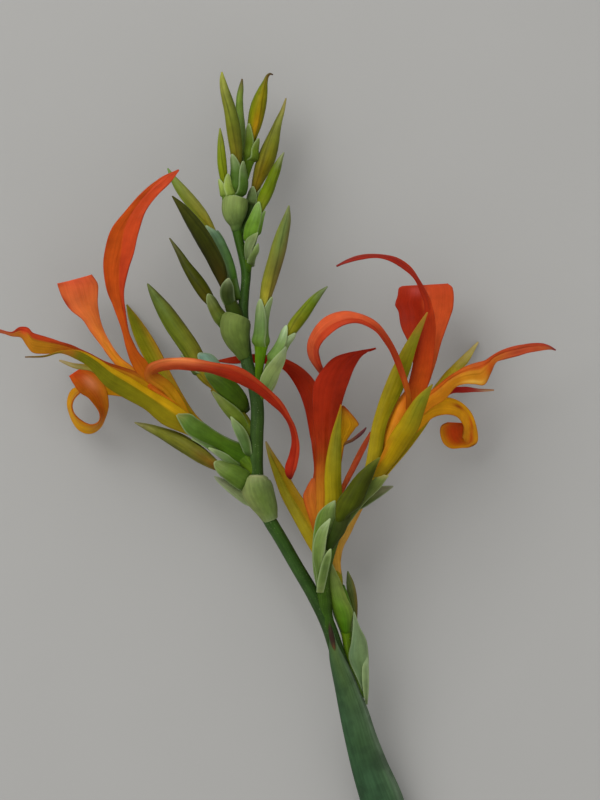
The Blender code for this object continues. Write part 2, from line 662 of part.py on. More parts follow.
                (410, 420, 9.2, 424, 429, 9.2, -0.4),
                (426, 398, 6.6, 438, 406, 6.6, -0.3),
                (440, 380, 4.0, 450, 388, 4.0, -0.3),
                (450, 368, 1.0, 461, 371, 1.0, -0.2),
                (461, 357.5, -2.6, 470, 360, -2.6, -0.1),
                (478.4, 341.4, -6.1, 479.6, 342.6, -6.1, 0.0),
            ],
        ],
        "core": [(377, 466, 16.0, 3.4), (386, 450, 15.8, 5.4), (397, 432, 15.6, 6.2), (407, 414, 15.6, 6.0),
                 (413, 402, 15.6, 4.6)],
        "blades": [
            [
                (400, 424, 15.8, 414, 422, 15.8, 0.2),
                (408, 392, 15.6, 428, 386, 15.4, 0.2),
                (412, 370, 15.8, 430.5, 366, 15.4, 0.2),
                (416, 350, 16.2, 434, 345, 15.8, 0.2),
                (421, 325, 17.1, 434.5, 324, 16.5, 0.2),
                (425.5, 304, 18.4, 431, 304, 17.2, 0.1),
                (420, 291, 19.4, 425.5, 289, 17.4, 0.1),
                (413, 279.5, 20.2, 417, 276.5, 17.8, 0.1),
                (404, 269, 20.8, 407.5, 265, 18.4, 0.1),
                (393, 262, 21.3, 394.5, 256.5, 19.0, 0.1),
                (378, 258.8, 21.6, 380, 254.5, 19.6, 0.1),
                (360, 260.2, 21.7, 361, 255.8, 20.0, 0.1),
                (346, 264, 21.4, 347, 259.2, 20.2, 0.1),
                (336.3, 267, 21.1, 335.8, 265.6, 20.6, 0.0),
            ],
            [
                (402, 420, 16.2, 414, 416, 16.2, 0.1),
                (400, 398, 18.6, 411, 392, 18.6, 0.2),
                (395, 366, 20.2, 405, 371, 20.2, 0.3),
                (389, 350, 21.6, 398.5, 354, 21.6, 0.3),
                (380, 337, 23.0, 389, 337, 22.6, 0.3),
                (370, 327, 24.1, 376, 322.5, 23.2, 0.3),
                (358, 323, 24.7, 359, 313.5, 23.3, 0.3),
                (346, 325, 24.7, 344, 311.5, 22.9, 0.4),
                (334, 331, 23.9, 327, 317, 21.7, 0.4),
                (324, 340, 22.2, 314.5, 328, 19.8, 0.4),
                (319, 350, 19.6, 308.5, 341, 17.2, 0.3),
                (319.5, 360, 16.7, 309.5, 356, 14.5, 0.2),
                (323, 368, 13.7, 316, 369, 12.3, 0.1),
                (328, 377, 11.4, 325, 379, 11.0, 0.0),
            ],
            [
                (403, 414, 15.4, 418, 411, 15.2, 0.1),
                (405, 386, 14.0, 429, 383, 13.8, 0.2),
                (404, 365, 12.8, 436, 367, 12.4, 0.3),
                (403, 345, 11.4, 442, 347, 11.0, 0.3),
                (400, 325, 10.0, 449, 326, 9.6, 0.3),
                (396.5, 308, 8.8, 453, 311, 8.4, 0.3),
                (397, 294, 7.8, 454, 297, 7.4, 0.2),
                (400, 286.5, 7.4, 449, 284.5, 7.0, 0.0),
            ],
            [
                (402, 414, 15.8, 412, 426, 15.6, 0.1),
                (422, 398, 15.8, 430, 406, 15.6, 0.1),
                (437, 385, 16.1, 447, 392, 15.9, 0.2),
                (451, 375.5, 16.5, 457, 385, 16.2, 0.3),
                (463, 368, 17.0, 469, 382, 16.6, 0.4),
                (476, 362.5, 17.4, 480, 384, 17.0, 0.5),
                (488, 359.3, 17.8, 489, 378, 17.4, 0.3),
                (497, 355.5, 18.1, 497, 363, 17.9, 0.0),
                (509, 349.5, 18.2, 513, 355.5, 18.2, 0.0),
                (523, 345.2, 18.4, 529, 351.2, 18.4, 0.0),
                (537, 343.4, 18.4, 541, 349.6, 18.4, 0.0),
                (554.6, 348.6, 18.2, 555.2, 350.2, 18.2, 0.0),
            ],
            [
                (410, 414, 15.2, 418, 422, 15.0, 0.0),
                (432, 397, 14.1, 438, 403, 13.9, 0.0),
                (449, 388.5, 13.5, 451, 394, 13.3, 0.1),
                (463, 386.6, 12.9, 464, 392.5, 12.7, 0.1),
                (479, 388, 12.3, 481, 392.8, 12.1, 0.0),
                (496, 389.8, 11.8, 496, 391.4, 11.8, 0.0),
            ],
            [
                (400, 428, 15.6, 408, 442, 15.6, 0.2),
                (415, 411, 15.4, 422, 427, 15.2, 0.4),
                (430, 401, 14.6, 434, 417, 14.2, 0.5),
                (447, 398, 13.0, 447, 413.5, 12.4, 0.4),
                (461, 404, 10.4, 457, 417, 10.2, 0.3),
                (471, 412.5, 7.4, 463.5, 423, 8.0, 0.2),
                (477, 426, 4.4, 466, 431, 5.8, 0.1),
                (478, 439, 2.0, 465, 437, 3.8, 0.1),
                (470, 447, 0.5, 462, 440, 2.8, 0.0),
                (457, 447.6, 0.3, 457, 438.5, 2.8, 0.0),
                (446, 444, 0.5, 452, 436, 3.4, 0.0),
                (441.5, 433, 1.6, 450, 431, 4.8, 0.0),
                (446, 423, 3.0, 452, 426, 6.0, 0.0),
            ],
        ],
    },
}


def smooth(part):
    part = min(max(part, 0.0), 1.0)
    return part * part * (3 - 2 * part)


def place(across, down, height):
    """A station's point. The stalk arches up from its cut end to the flowers, which prop it."""
    arch = ARCH_HEIGHT * smooth((CUT_END - down) / (CUT_END - FLOWERS_START))
    arch -= TOP_DROP * smooth((FLOWERS_END - down) / FLOWERS_END)
    x = (across - MIDDLE_ACROSS) * SQUARE
    y = (MIDDLE_DOWN - down) * SQUARE
    return Vector((x, y, height * MILLIMETRE + arch))


def along(stations, count):
    """Rows of numbers at even steps of a smooth line through the stations."""
    rows = np.array(stations, float)
    ends = np.vstack([2 * rows[0] - rows[1], rows, 2 * rows[-1] - rows[-2]])
    found = []
    for step in range(count + 1):
        position = step / count * (len(rows) - 1)
        first = min(int(position), len(rows) - 2)
        t = position - first
        a, b, c, d = ends[first:first + 4]
        line = 2 * b + (c - a) * t + (2 * a - 5 * b + 4 * c - d) * t**2 + (3 * b - a - 3 * c + d) * t**3
        found.append(line / 2)
    return found


def clear_scene():
    for item in list(bpy.data.objects):
        bpy.data.objects.remove(item)


def new_collection(name):
    collection = bpy.data.collections.new(name)
    bpy.context.scene.collection.children.link(collection)
    return collection


def new_material(name, colour, roughness):
    material = bpy.data.materials.new(name)
    material.use_nodes = True
    shader = material.node_tree.nodes["Principled BSDF"]
    shader.inputs["Base Color"].default_value = colour
    shader.inputs["Roughness"].default_value = roughness
    shader.inputs["Metallic"].default_value = 0.0
    return material


def add_mesh(name, mesh, collection):
    item = bpy.data.objects.new(name, mesh)
    collection.objects.link(item)
    return item


def drop_scraps(bm):
    """Keeps the largest connected piece of a mesh."""
    left = set(bm.verts)
    islands = []
    while left:
        island = {left.pop()}
        edge_of_island = list(island)
        while edge_of_island:
            vert = edge_of_island.pop()
            for edge in vert.link_edges:
                other = edge.other_vert(vert)
                if other not in island:
                    island.add(other)
                    edge_of_island.append(other)
        left -= island
        islands.append(island)
    largest = max(islands, key=len)
    bmesh.ops.delete(bm, geom=[vert for vert in bm.verts if vert not in largest], context="VERTS")


def evaluated_mesh(item):
    graph = bpy.context.evaluated_depsgraph_get()
    mesh = bpy.data.meshes.new_from_object(item.evaluated_get(graph))
    bm = bmesh.new()
    bm.from_mesh(mesh)
    bmesh.ops.remove_doubles(bm, verts=bm.verts, dist=1e-7)
    drop_scraps(bm)
    bmesh.ops.triangulate(bm, faces=bm.faces)
    bmesh.ops.recalc_face_normals(bm, faces=bm.faces)
    bm.to_mesh(mesh)
    bm.free()
    return mesh


def rod(stations, steps, collection, name="rod"):
    """A round tapering rod with filled ends: a curve made into a closed mesh."""
    curve = bpy.data.curves.new(name, "CURVE")
    curve.dimensions = "3D"
    curve.bevel_depth = SQUARE
    curve.bevel_resolution = 2
    curve.use_fill_caps = True
    line = curve.splines.new("POLY")
    line.points.add(steps)
    for point, (across, down, height, radius) in zip(line.points, along(stations, steps)):
        point.co = (*place(across, down, height), 1)
        point.radius = max(radius, 0.6)
    guide = add_mesh(name, curve, collection)
    mesh = evaluated_mesh(guide)
    bpy.data.objects.remove(guide)
    return add_mesh(name, mesh, collection)


def thicken(bm, name, thickness, collection):
    """A sheet made into a closed leaf, split into triangles alike on both faces."""
    bmesh.ops.triangulate(bm, faces=bm.faces)
    mesh = bpy.data.meshes.new(name)
    bm.to_mesh(mesh)
    bm.free()
    item = add_mesh(name, mesh, collection)
    solid = item.modifiers.new("Thickness", "SOLIDIFY")
    solid.thickness = thickness
    solid.offset = 0
    item.data = evaluated_mesh(item)
    item.modifiers.clear()
    return item


def leaf(stations, steps, columns, collection, name="leaf"):
    """A leaf or petal between a left and a right edge, its middle standing out."""
    rows = along(stations, steps)
    lefts = [place(*row[0:3]) for row in rows]
    rights = [place(*row[3:6]) for row in rows]
    bm = bmesh.new()
    bmesh.ops.create_grid(bm, x_segments=columns, y_segments=steps, size=1)
    for vert in bm.verts:
        side = (vert.co.x + 1) / 2
        step = round((vert.co.y + 1) / 2 * steps)
        before = max(step - 1, 0)
        after = min(step + 1, steps)
        run = lefts[after] + rights[after] - lefts[before] - rights[before]
        out = (rights[step] - lefts[step]).cross(run).normalized()
        rise = rows[step][6] * MILLIMETRE * (1 - (2 * side - 1) ** 2)
        vert.co = lefts[step].lerp(rights[step], side) + out * rise
    return thicken(bm, name, LEAF_THICKNESS, collection)


def sepal(axis, angle, start, end, half_width, collection, name="sepal"):
    """A pointed leaf that clasps a bud, a small gap off its skin, its foot below the bud."""
    fine = along(axis, 40)
    centres = [place(*row[0:3]) for row in fine]
    reach = [0.0]
    for first, second in zip(centres, centres[1:]):
        reach.append(reach[-1] + (second - first).length / SQUARE)
    radii = [row[3] for row in fine]
    steps, columns = 4, 2
    bm = bmesh.new()
    bmesh.ops.create_grid(bm, x_segments=columns, y_segments=steps, size=1)
    for vert in bm.verts:
        part = (vert.co.y + 1) / 2
        distance = start + (end - start) * part
        index = min(max(int(np.searchsorted(reach, distance)) - 1, 0), 38)
        run = (centres[index + 1] - centres[index]).normalized()
        centre = centres[index] + run * (distance - reach[index]) * SQUARE
        radius = max(float(np.interp(distance, reach, radii)), radii[0])
        ring = radius * SQUARE + 1.6 * GAP + LEAF_THICKNESS / 2
        right = run.cross(Vector((0, 0, 1))).normalized()
        up = right.cross(run)
        width = half_width * (0.16 + 0.84 * math.sin(math.pi * min(1, 0.3 + 0.7 * part)) ** 0.8)
        turn = math.radians(angle) + vert.co.x * min(width * SQUARE / ring, 1.3)
        vert.co = centre + (up * math.cos(turn) + right * math.sin(turn)) * ring
    bmesh.ops.reverse_faces(bm, faces=bm.faces)
    return thicken(bm, name, LEAF_THICKNESS, collection)


def union(name, pieces, collection, solver="MANIFOLD"):
    """One closed body made of the first piece and all the others."""
    group = new_collection(name + "_pieces")
    for piece in pieces[1:]:
        for owner in list(piece.users_collection):
            owner.objects.unlink(piece)
        group.objects.link(piece)
    base = pieces[0]
    join = base.modifiers.new("Union", "BOOLEAN")
    join.operation = "UNION"
    join.operand_type = "COLLECTION"
    join.collection = group
    join.solver = solver
    base.data = evaluated_mesh(base)
    base.modifiers.clear()
    for piece in pieces[1:]:
        bpy.data.objects.remove(piece)
    bpy.data.collections.remove(group)
    for owner in list(base.users_collection):
        owner.objects.unlink(base)
    collection.objects.link(base)
    base.name = name
    base.data.name = name
    return base


def finish(item, material):
    item.data.materials.clear()
    item.data.materials.append(material)
    item.data.shade_smooth()
    item.data.set_sharp_from_angle(angle=math.radians(40))
    return item


def make_stalk(work, part, material):
    pieces = [rod(STEM, len(STEM) - 1, work, "stem")]
    for stations in CUPS + BRANCHES:
        pieces.append(rod(stations, 6, work))
    for bud in BUDS.values():
        pieces.append(rod(bud["foot"], 5, work))
        for angle, start, end, half_width in bud["sepals"]:
            pieces.append(sepal(bud["axis"], angle, start, end, half_width, work))
    for stations in BRACTS.values():
        pieces.append(leaf(stations, len(stations), 2, work))
    return finish(union("stalk", pieces, part), material)


def make_sheath(work, part, material):
    """The leaf base: an oval loft round the stem, flat where it lies, with the stem's way cut out."""
    steps, sides = 12, 18
    rows = along(SHEATH, steps)
    centres = [place(*row[0:3]) for row in rows]
    bm = bmesh.new()
    bmesh.ops.create_cone(bm, cap_ends=True, segments=sides, radius1=1, radius2=1, depth=2)
    rings = [edge for edge in bm.edges if abs(edge.verts[0].co.z - edge.verts[1].co.z) > 1]
    bmesh.ops.subdivide_edges(bm, edges=rings, cuts=steps - 1, use_grid_fill=True)
    for vert in bm.verts:
        step = round((vert.co.z + 1) / 2 * steps)
        turn = math.atan2(vert.co.y, vert.co.x)
        run = centres[min(step + 1, steps)] - centres[max(step - 1, 0)]
        right = run.cross(Vector((0, 0, 1))).normalized()
        up = Vector((0, 0, 1))
        wide = rows[step][3] * SQUARE
        high = rows[step][4] * MILLIMETRE
        vert.co = centres[step] + right * wide * math.cos(turn) + up * high * math.sin(turn)
        vert.co.z = max(vert.co.z, 0.0)
    bmesh.ops.triangulate(bm, faces=bm.faces)
    bmesh.ops.recalc_face_normals(bm, faces=bm.faces)
    mesh = bpy.data.meshes.new("leaf_sheath")
    bm.to_mesh(mesh)
    bm.free()
    sheath = add_mesh("leaf_sheath", mesh, part)
    gap = 1.5 * GAP / SQUARE
    way = [(across, down, height, radius + gap) for across, down, height, radius in STEM]
    way.insert(0, 2 * np.array(way[0]) - np.array(way[1]))
    cutters = [rod(way, len(way) - 1, work, "stem_way")]
    branch = [(across, down, height, radius + 1.5 * gap) for across, down, height, radius in BRANCHES[2]]
    cutters.append(rod(branch, 6, work, "branch_way"))
    for cutter in cutters:
        cut = sheath.modifiers.new("Way", "BOOLEAN")
        cut.operation = "DIFFERENCE"
        cut.object = cutter
        cut.solver = "MANIFOLD"
    sheath.data = evaluated_mesh(sheath)
    sheath.modifiers.clear()
    for cutter in cutters:
        bpy.data.objects.remove(cutter)
    return finish(sheath, material)


def make_buds(part, olive, dark):
    for name, bud in BUDS.items():
        item = rod(bud["axis"], 10, part, name)
        finish(item, dark if "dark" in name else olive)


def make_flowers(work, part, green_yellow, orange_red):
    for name, flower in FLOWERS.items():
        petals = [rod(flower["tube"], 4, work)]
        petals += [leaf(stations, 9, 3, work) for stations in flower["petals"]]
        finish(union(name + "_petals", petals, part), green_yellow)
        blades = [rod(flower["core"], 5, work)]
        blades += [leaf(stations, len(stations) + 1, 3, work) for stations in flower["blades"]]
        finish(union(name + "_staminodes", blades, part), orange_red)


def main():
    clear_scene()
    part = new_collection("canna_flower")
    work = new_collection("construction")
    make_stalk(work, part, new_material("stalk green", GREEN, 0.45))
    make_sheath(work, part, new_material("waxy grey green", GREY_GREEN, 0.55))
    make_buds(part, new_material("bud olive", OLIVE, 0.4), new_material("bud dark", DARK_OLIVE, 0.4))
    make_flowers(
        work,
        part,
        new_material("petal green yellow", GREEN_YELLOW, 0.4),
        new_material("staminode orange red", ORANGE_RED, 0.45),
    )


main()
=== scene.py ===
import math

import bmesh
import bpy
import numpy as np
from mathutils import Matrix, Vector


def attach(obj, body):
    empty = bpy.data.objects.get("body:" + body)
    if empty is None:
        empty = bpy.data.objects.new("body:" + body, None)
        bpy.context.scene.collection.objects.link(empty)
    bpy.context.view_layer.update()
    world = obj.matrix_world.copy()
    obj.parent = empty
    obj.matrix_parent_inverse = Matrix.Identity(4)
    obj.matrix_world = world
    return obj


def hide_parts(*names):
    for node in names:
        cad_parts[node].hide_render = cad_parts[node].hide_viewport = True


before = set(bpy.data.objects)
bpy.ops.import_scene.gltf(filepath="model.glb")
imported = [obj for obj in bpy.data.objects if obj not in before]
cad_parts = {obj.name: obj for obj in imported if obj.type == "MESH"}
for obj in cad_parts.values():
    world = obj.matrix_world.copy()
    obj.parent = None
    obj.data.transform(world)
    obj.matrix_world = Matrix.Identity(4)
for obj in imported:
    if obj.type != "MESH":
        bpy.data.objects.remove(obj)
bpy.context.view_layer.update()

plan = {
    "square": 0.215e-3,  # metres
    "middleAcross": 271.55,
    "middleDown": 471.25,
    "archHeight": 6.5e-3,  # the stalk rises this much from its cut end to the flowers
    "archFrom": 864,
    "archTo": 470,
    "topDrop": 3.0e-3,  # and sinks again towards the topmost buds
    "dropFrom": 380,
}
mm = 0.001
square = plan["square"]
up = Vector((0, 0, 1))
onStalk = ("stalk", "stalk_green")  # the node that a piece replaces, and its slot
onSheath = ("leaf_sheath", "waxy_grey_green")
fineness = {  # rows along and columns around each round piece
    "stem": (240, 40),
    "branch": (48, 32),
    "cup": (56, 96),
    "leafScar": (30, 20),
    "sheath": (150, 156),
    "cutFace": (4, 96),
    "bud": (70, 72),
    "budFoot": (36, 40),
    "tube": (36, 40),
    "core": (36, 32),
}


def clamp(part):
    return min(max(part, 0.0), 1.0)


def smooth(part):
    part = clamp(part)
    return part * part * (3 - 2 * part)


def place(across, down, height):
    arch = plan["archHeight"] * smooth((plan["archFrom"] - down) / (plan["archFrom"] - plan["archTo"]))
    arch -= plan["topDrop"] * smooth((plan["dropFrom"] - down) / plan["dropFrom"])
    x = (across - plan["middleAcross"]) * square
    y = (plan["middleDown"] - down) * square
    return Vector((x, y, height * mm + arch))


# A smooth line through the stations, cut into equal shares of each span.
def along(stations, count):
    rows = np.array(stations, float)
    ends = np.vstack([2 * rows[0] - rows[1], rows, 2 * rows[-1] - rows[-2]])
    found = []
    for step in range(count + 1):
        position = step / count * (len(rows) - 1)
        first = min(int(position), len(rows) - 2)
        t = position - first
        a, b, c, d = ends[first:first + 4]
        line = 2 * b + (c - a) * t + (2 * a - 5 * b + 4 * c - d) * t**2 + (3 * b - a - 3 * c + d) * t**3
        found.append(line / 2)
    return found


def lengthsAlong(points):
    lengths = [0.0]
    for first, second in zip(points, points[1:]):
        lengths.append(lengths[-1] + (second - first).length)
    return lengths


def toLinear(hexColour):
    channels = []
    for start in (0, 2, 4):
        value = int(hexColour[start:start + 2], 16) / 255
        channels.append(value / 12.92 if value <= 0.04045 else ((value + 0.055) / 1.055) ** 2.4)
    return np.array((*channels, 1.0))


def blendColours(hexColours, part):
    stops = [toLinear(stop) for stop in hexColours.split()]
    position = clamp(part) * (len(stops) - 1)
    first = min(int(position), max(len(stops) - 2, 0))
    last = min(first + 1, len(stops) - 1)
    return stops[first] + (stops[last] - stops[first]) * (position - first)


def foldAt(piece, part):
    foot, tip = piece["fold"]
    return foot + (tip - foot) * part


# The tint of a spot: the ramp from foot to tip, drawn towards the colour of its side, then the blushes.
# The side colours are partly the piece's own two tones and partly painted shade on the side turned from the
# light.
# A blush has a colour, its place across and along, its reach both ways, and its strength; some blushes are
# painted highlights or painted shadow.
tinting = {
    "sideStrength": 0.8,
    "sideFalloff": 1.3,  # keeps the side colours near the edges
    "foldBlend": 0.14,  # share of the width where two tones meet at a fold
}


def paint(piece, side, part):
    colour = blendColours(piece["colours"], part)
    sides = piece["sides"].split()
    left, right = toLinear(sides[0]), toLinear(sides[-1])
    weight = tinting["sideStrength"] * math.sin(math.pi * clamp(part)) ** 0.5
    if "fold" in piece:
        beyondFold = (side - foldAt(piece, part)) / tinting["foldBlend"] + 0.5
        edgeColour = left + (right - left) * smooth(beyondFold)
    else:
        edgeColour = left if side < 0.5 else right
        weight *= abs(2 * side - 1) ** tinting["sideFalloff"]
    colour = colour + (edgeColour - colour) * weight
    for hexColour, sideAt, partAt, sideSize, partSize, strength in piece.get("blushes", []):
        away = ((side - sideAt) / sideSize) ** 2 + ((part - partAt) / partSize) ** 2
        colour = colour + (toLinear(hexColour) - colour) * strength * math.exp(-away)
    return colour


# Each piece starts as a flat grid: its sides become the left and right edges, or meet under a round piece.
def shapeGrid(columns, steps, shape):
    bm = bmesh.new()
    grain = bm.verts.layers.float_vector.new("grain")  # millimetres across, along and deep
    edge = bm.verts.layers.float.new("edge")  # millimetres from the nearest edge
    tint = bm.verts.layers.float_color.new("tint")
    bmesh.ops.create_grid(bm, x_segments=columns, y_segments=steps, size=1)
    for vert in bm.verts:
        side = (vert.co.x + 1) / 2
        step = round((vert.co.y + 1) / 2 * steps)
        vert.co, vert[grain], vert[edge], vert[tint] = shape(side, step)
    return bm


def addPiece(name, bm, material, home, thickness=0):
    node, slotName = home
    mesh = bpy.data.meshes.new(name)
    bm.to_mesh(mesh)
    bm.free()
    mesh.shade_smooth()
    mesh.materials.append(material)
    piece = bpy.data.objects.new(name, mesh)
    bpy.context.scene.collection.objects.link(piece)
    if thickness:
        wall = piece.modifiers.new("Thickness", "SOLIDIFY")
        wall.thickness = thickness
        wall.offset = 0
    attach(piece, "root")
    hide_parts(node)
    return piece


seedGrain = 9.3  # millimetres from the grain of one piece to the next
leafShape = {
    "fullWidth": 12,  # squares; where a leaf is narrower, its waves and ribs are shallower
    "seedPhase": 1.7,
    "edgePhase": 2.1,  # keeps the waves of the two edges apart
    "rippleDepth": 0.3,  # a slower wave over the whole width
    "ripplePace": 0.61,
    "rippleSkew": 5,
    "foldWidth": 0.09,
    "footPart": 0.14,  # share of the length that sinks into the stalk
    "bluntFrom": 0.75,
}


def addLeaf(name, leaf, finish, seed, home, material):
    steps = (len(leaf["stations"]) - 1) * finish["rowsPerStation"]
    rows = along(leaf["stations"], steps)
    lefts = [place(*row[0:3]) for row in rows]
    rights = [place(*row[3:6]) for row in rows]
    middles = [(left + right) / 2 for left, right in zip(lefts, rights)]
    widths = [(right - left).length for left, right in zip(lefts, rights)]
    lengths = lengthsAlong(middles)
    widest = max(widths)
    wave = leaf.get("wave", finish["wave"]) * mm
    waveLength = finish["waveLength"] * mm
    blunt = leaf.get("blunt", 0) * square

    def shape(side, step):
        run = middles[min(step + 1, steps)] - middles[max(step - 1, 0)]
        out = (rights[step] - lefts[step]).cross(run).normalized()
        edge = abs(2 * side - 1)
        part = step / steps
        height = rows[step][6] * mm * (1 - edge**2)
        ease = math.sin(math.pi * part) ** 0.5 * min(widths[step] / (leafShape["fullWidth"] * square), 1)
        turn = 2 * math.pi * lengths[step] / waveLength + seed * leafShape["seedPhase"]
        turn += leafShape["edgePhase"] if side < 0.5 else 0
        height += wave * ease * edge**3 * math.sin(turn)
        ripple = math.sin(leafShape["ripplePace"] * turn + leafShape["rippleSkew"] * side)
        height += leafShape["rippleDepth"] * wave * ease * ripple
        height += finish["ribDepth"] * mm * ease * math.cos(2 * math.pi * finish["ribs"] * side)
        if "fold" in leaf:
            fold = math.exp(-((side - foldAt(leaf, part)) / leafShape["foldWidth"]) ** 2)
            height -= finish["foldDepth"] * mm * ease * fold
        where = lefts[step].lerp(rights[step], side) + out * height
        where.z -= finish["sink"] * mm * (1 - smooth(part / leafShape["footPart"]))
        if blunt:
            tip = max(part - leafShape["bluntFrom"], 0) / (1 - leafShape["bluntFrom"])
            where += run.normalized() * blunt * (1 - edge**2) * tip**2
        grain = ((side - 0.5) * widest / mm, lengths[step] / mm, seed * seedGrain)
        edgeDistance = (0.5 - edge / 2) * widths[step] / mm + leaf.get("noRim", 0)
        return where, grain, edgeDistance, paint(leaf, side, part)

    bm = shapeGrid(finish["columns"], steps, shape)
    addPiece(name, bm, material, home, finish["thickness"] * mm)


# A round piece runs from foot to tip with closed ends. contour(part, angle) gives the swelling of its skin
# and a factor on its tint, which on buds and cups paints shade in grooves and seams and light on ridges and
# rims.
roundShape = {
    "thinnest": 0.25,  # squares
    "noEdge": 9.0,  # millimetres, too far from an edge for a rim
    "weld": 1e-7,
}


def addRound(name, rod, rowsAndColumns, seed, home, material, contour=None):
    steps, columns = rowsAndColumns
    rows = along(rod["stations"], steps)
    centres = [place(*row[0:3]) for row in rows]
    lengths = lengthsAlong(centres)

    def shape(side, step):
        row = min(max(step - 1, 0), steps)  # the first and the last row of the grid close the ends
        spread = 0.0 if step in (0, steps + 2) else 1.0
        part = row / steps
        angle = (2 * side - 1) * math.pi
        run = (centres[min(row + 1, steps)] - centres[max(row - 1, 0)]).normalized()
        right = run.cross(up).normalized()
        skyward = right.cross(run)
        radius = max(rows[row][3], roundShape["thinnest"]) * square
        high = rows[row][4] * mm if len(rows[row]) > 4 else radius
        swell, shade = contour(part, angle) if contour else (1.0, 1.0)
        offset = right * radius * math.sin(angle) + skyward * high * math.cos(angle)
        where = centres[row] + offset * swell * spread
        flat = radius / mm * spread
        grain = (flat * math.sin(angle), lengths[row] / mm, flat * math.cos(angle) + seed * seedGrain)
        tint = paint(rod, 0.5 + 0.5 * math.sin(angle), part) * shade
        if "heart" in rod and not spread:
            tint = toLinear(rod["heart"])
        return where, grain, roundShape["noEdge"], tint

    bm = shapeGrid(columns, steps + 2, shape)
    bmesh.ops.remove_doubles(bm, verts=bm.verts, dist=roundShape["weld"])
    bmesh.ops.recalc_face_normals(bm, faces=bm.faces)
    return addPiece(name, bm, material, home)


def addNode(tree, kind, settings=None, links=None):
    node = tree.nodes.new(kind)
    for key, value in (settings or {}).items():
        if isinstance(key, str) and hasattr(node, key):
            setattr(node, key, value)
        else:
            node.inputs[key].default_value = value
    for key, source in (links or {}).items():
        tree.links.new(source, node.inputs[key])
    return node


# Living plant skin. The tint painted on each piece is broken up by fine length lines, clouds and flecks.
# Spacings and sizes are in millimetres.
noiseRange = {"From Min": 0.3, "From Max": 0.7}  # noise seldom leaves it
skinBase = {
    "gloss": 0.06,
    "glow": 0.0,  # share of light that goes through the skin
    "glowReach": (1.0, 0.5, 0.2),
    "glowDepth": 0.4,
    "refraction": 1.42,
    "roughnessSpread": 0.07,
    "reliefHeight": 0.1,
    "rimReach": 1.6,
    "fleckSoftness": 0.12,
}


def plantSkin(ownSettings):
    skin = {**skinBase, **ownSettings}
    material = bpy.data.materials.new(skin["name"])
    material.use_nodes = True
    tree = material.node_tree
    shader = tree.nodes["Principled BSDF"]
    colour = addNode(tree, "ShaderNodeAttribute", {"attribute_name": "tint"}).outputs["Color"]
    grain = addNode(tree, "ShaderNodeAttribute", {"attribute_name": "grain"}).outputs["Vector"]
    fine = 1 / skin["lineSpacing"]
    lines = addNode(tree, "ShaderNodeMapping", {"Scale": (fine, 1 / skin["lineLength"], fine)},
                    {"Vector": grain})
    veins = addNode(tree, "ShaderNodeTexNoise", {"Scale": 1.0, "Detail": 3.0, "Roughness": 0.6},
                    {"Vector": lines.outputs["Vector"]}).outputs["Fac"]
    clouds = addNode(tree, "ShaderNodeTexNoise", {"Scale": 1 / skin["cloudSize"], "Detail": 3.0},
                     {"Vector": grain}).outputs["Fac"]
    for noise, depth in ((veins, skin["veinDepth"]), (clouds, skin["cloudDepth"])):
        shade = addNode(tree, "ShaderNodeMapRange", {
            **noiseRange, "To Min": 1 - depth, "To Max": 1 + depth}, {"Value": noise})
        lit = addNode(tree, "ShaderNodeVectorMath", {"operation": "SCALE"},
                      {0: colour, "Scale": shade.outputs["Result"]})
        colour = lit.outputs["Vector"]
    covers = []
    if "rimColour" in skin:
        edge = addNode(tree, "ShaderNodeAttribute", {"attribute_name": "edge"})
        wander = addNode(tree, "ShaderNodeMath", {"operation": "MULTIPLY_ADD", 1: skin["rimWidth"]},
                         {0: veins, 2: edge.outputs["Fac"]})
        rim = addNode(tree, "ShaderNodeMapRange", {
            "interpolation_type": "SMOOTHSTEP",
            "From Min": 0.0, "From Max": skin["rimReach"] * skin["rimWidth"],
            "To Min": skin["rimStrength"], "To Max": 0.0}, {"Value": wander.outputs["Value"]})
        covers.append((rim, skin["rimColour"]))
    if "fleckColour" in skin:
        dots = addNode(tree, "ShaderNodeTexNoise", {"Scale": 1 / skin["fleckSize"], "Detail": 1.0},
                       {"Vector": grain})
        fleck = addNode(tree, "ShaderNodeMapRange", {
            "interpolation_type": "SMOOTHSTEP",
            "From Min": skin["fleckFrom"], "From Max": skin["fleckFrom"] + skin["fleckSoftness"],
            "To Min": 0.0, "To Max": skin["fleckStrength"]}, {"Value": dots.outputs["Fac"]})
        covers.append((fleck, skin["fleckColour"]))
    for mask, hexColour in covers:
        mix = addNode(tree, "ShaderNodeMix", {"data_type": "RGBA", 7: toLinear(hexColour)},
                      {"Factor": mask.outputs["Result"], 6: colour})
        colour = mix.outputs[2]
    rough = addNode(tree, "ShaderNodeMapRange", {
        **noiseRange, "To Min": skin["roughness"] - skin["roughnessSpread"],
        "To Max": skin["roughness"] + skin["roughnessSpread"]}, {"Value": clouds})
    relief = addNode(tree, "ShaderNodeBump", {
        "Strength": skin["relief"], "Distance": skin["reliefHeight"] * mm}, {"Height": veins})
    tree.links.new(colour, shader.inputs["Base Color"])
    tree.links.new(rough.outputs["Result"], shader.inputs["Roughness"])
    tree.links.new(relief.outputs["Normal"], shader.inputs["Normal"])
    shader.inputs["IOR"].default_value = skin["refraction"]
    shader.inputs["Specular IOR Level"].default_value = skin["gloss"]
    shader.inputs["Subsurface Weight"].default_value = skin["glow"]
    shader.inputs["Subsurface Radius"].default_value = skin["glowReach"]
    shader.inputs["Subsurface Scale"].default_value = skin["glowDepth"] * mm
    return material


# Stem: living canna stem, smooth waxy skin with long fibre lines and sparse pale pores.
freshStem = plantSkin({
    "name": "fresh canna stem", "lineSpacing": 0.32, "lineLength": 9.0, "veinDepth": 0.26, "cloudSize": 2.5,
    "cloudDepth": 0.16, "roughness": 0.42, "relief": 0.5, "fleckColour": "7f8c62", "fleckSize": 0.28,
    "fleckFrom": 0.67, "fleckStrength": 0.5, "gloss": 0.1,
})
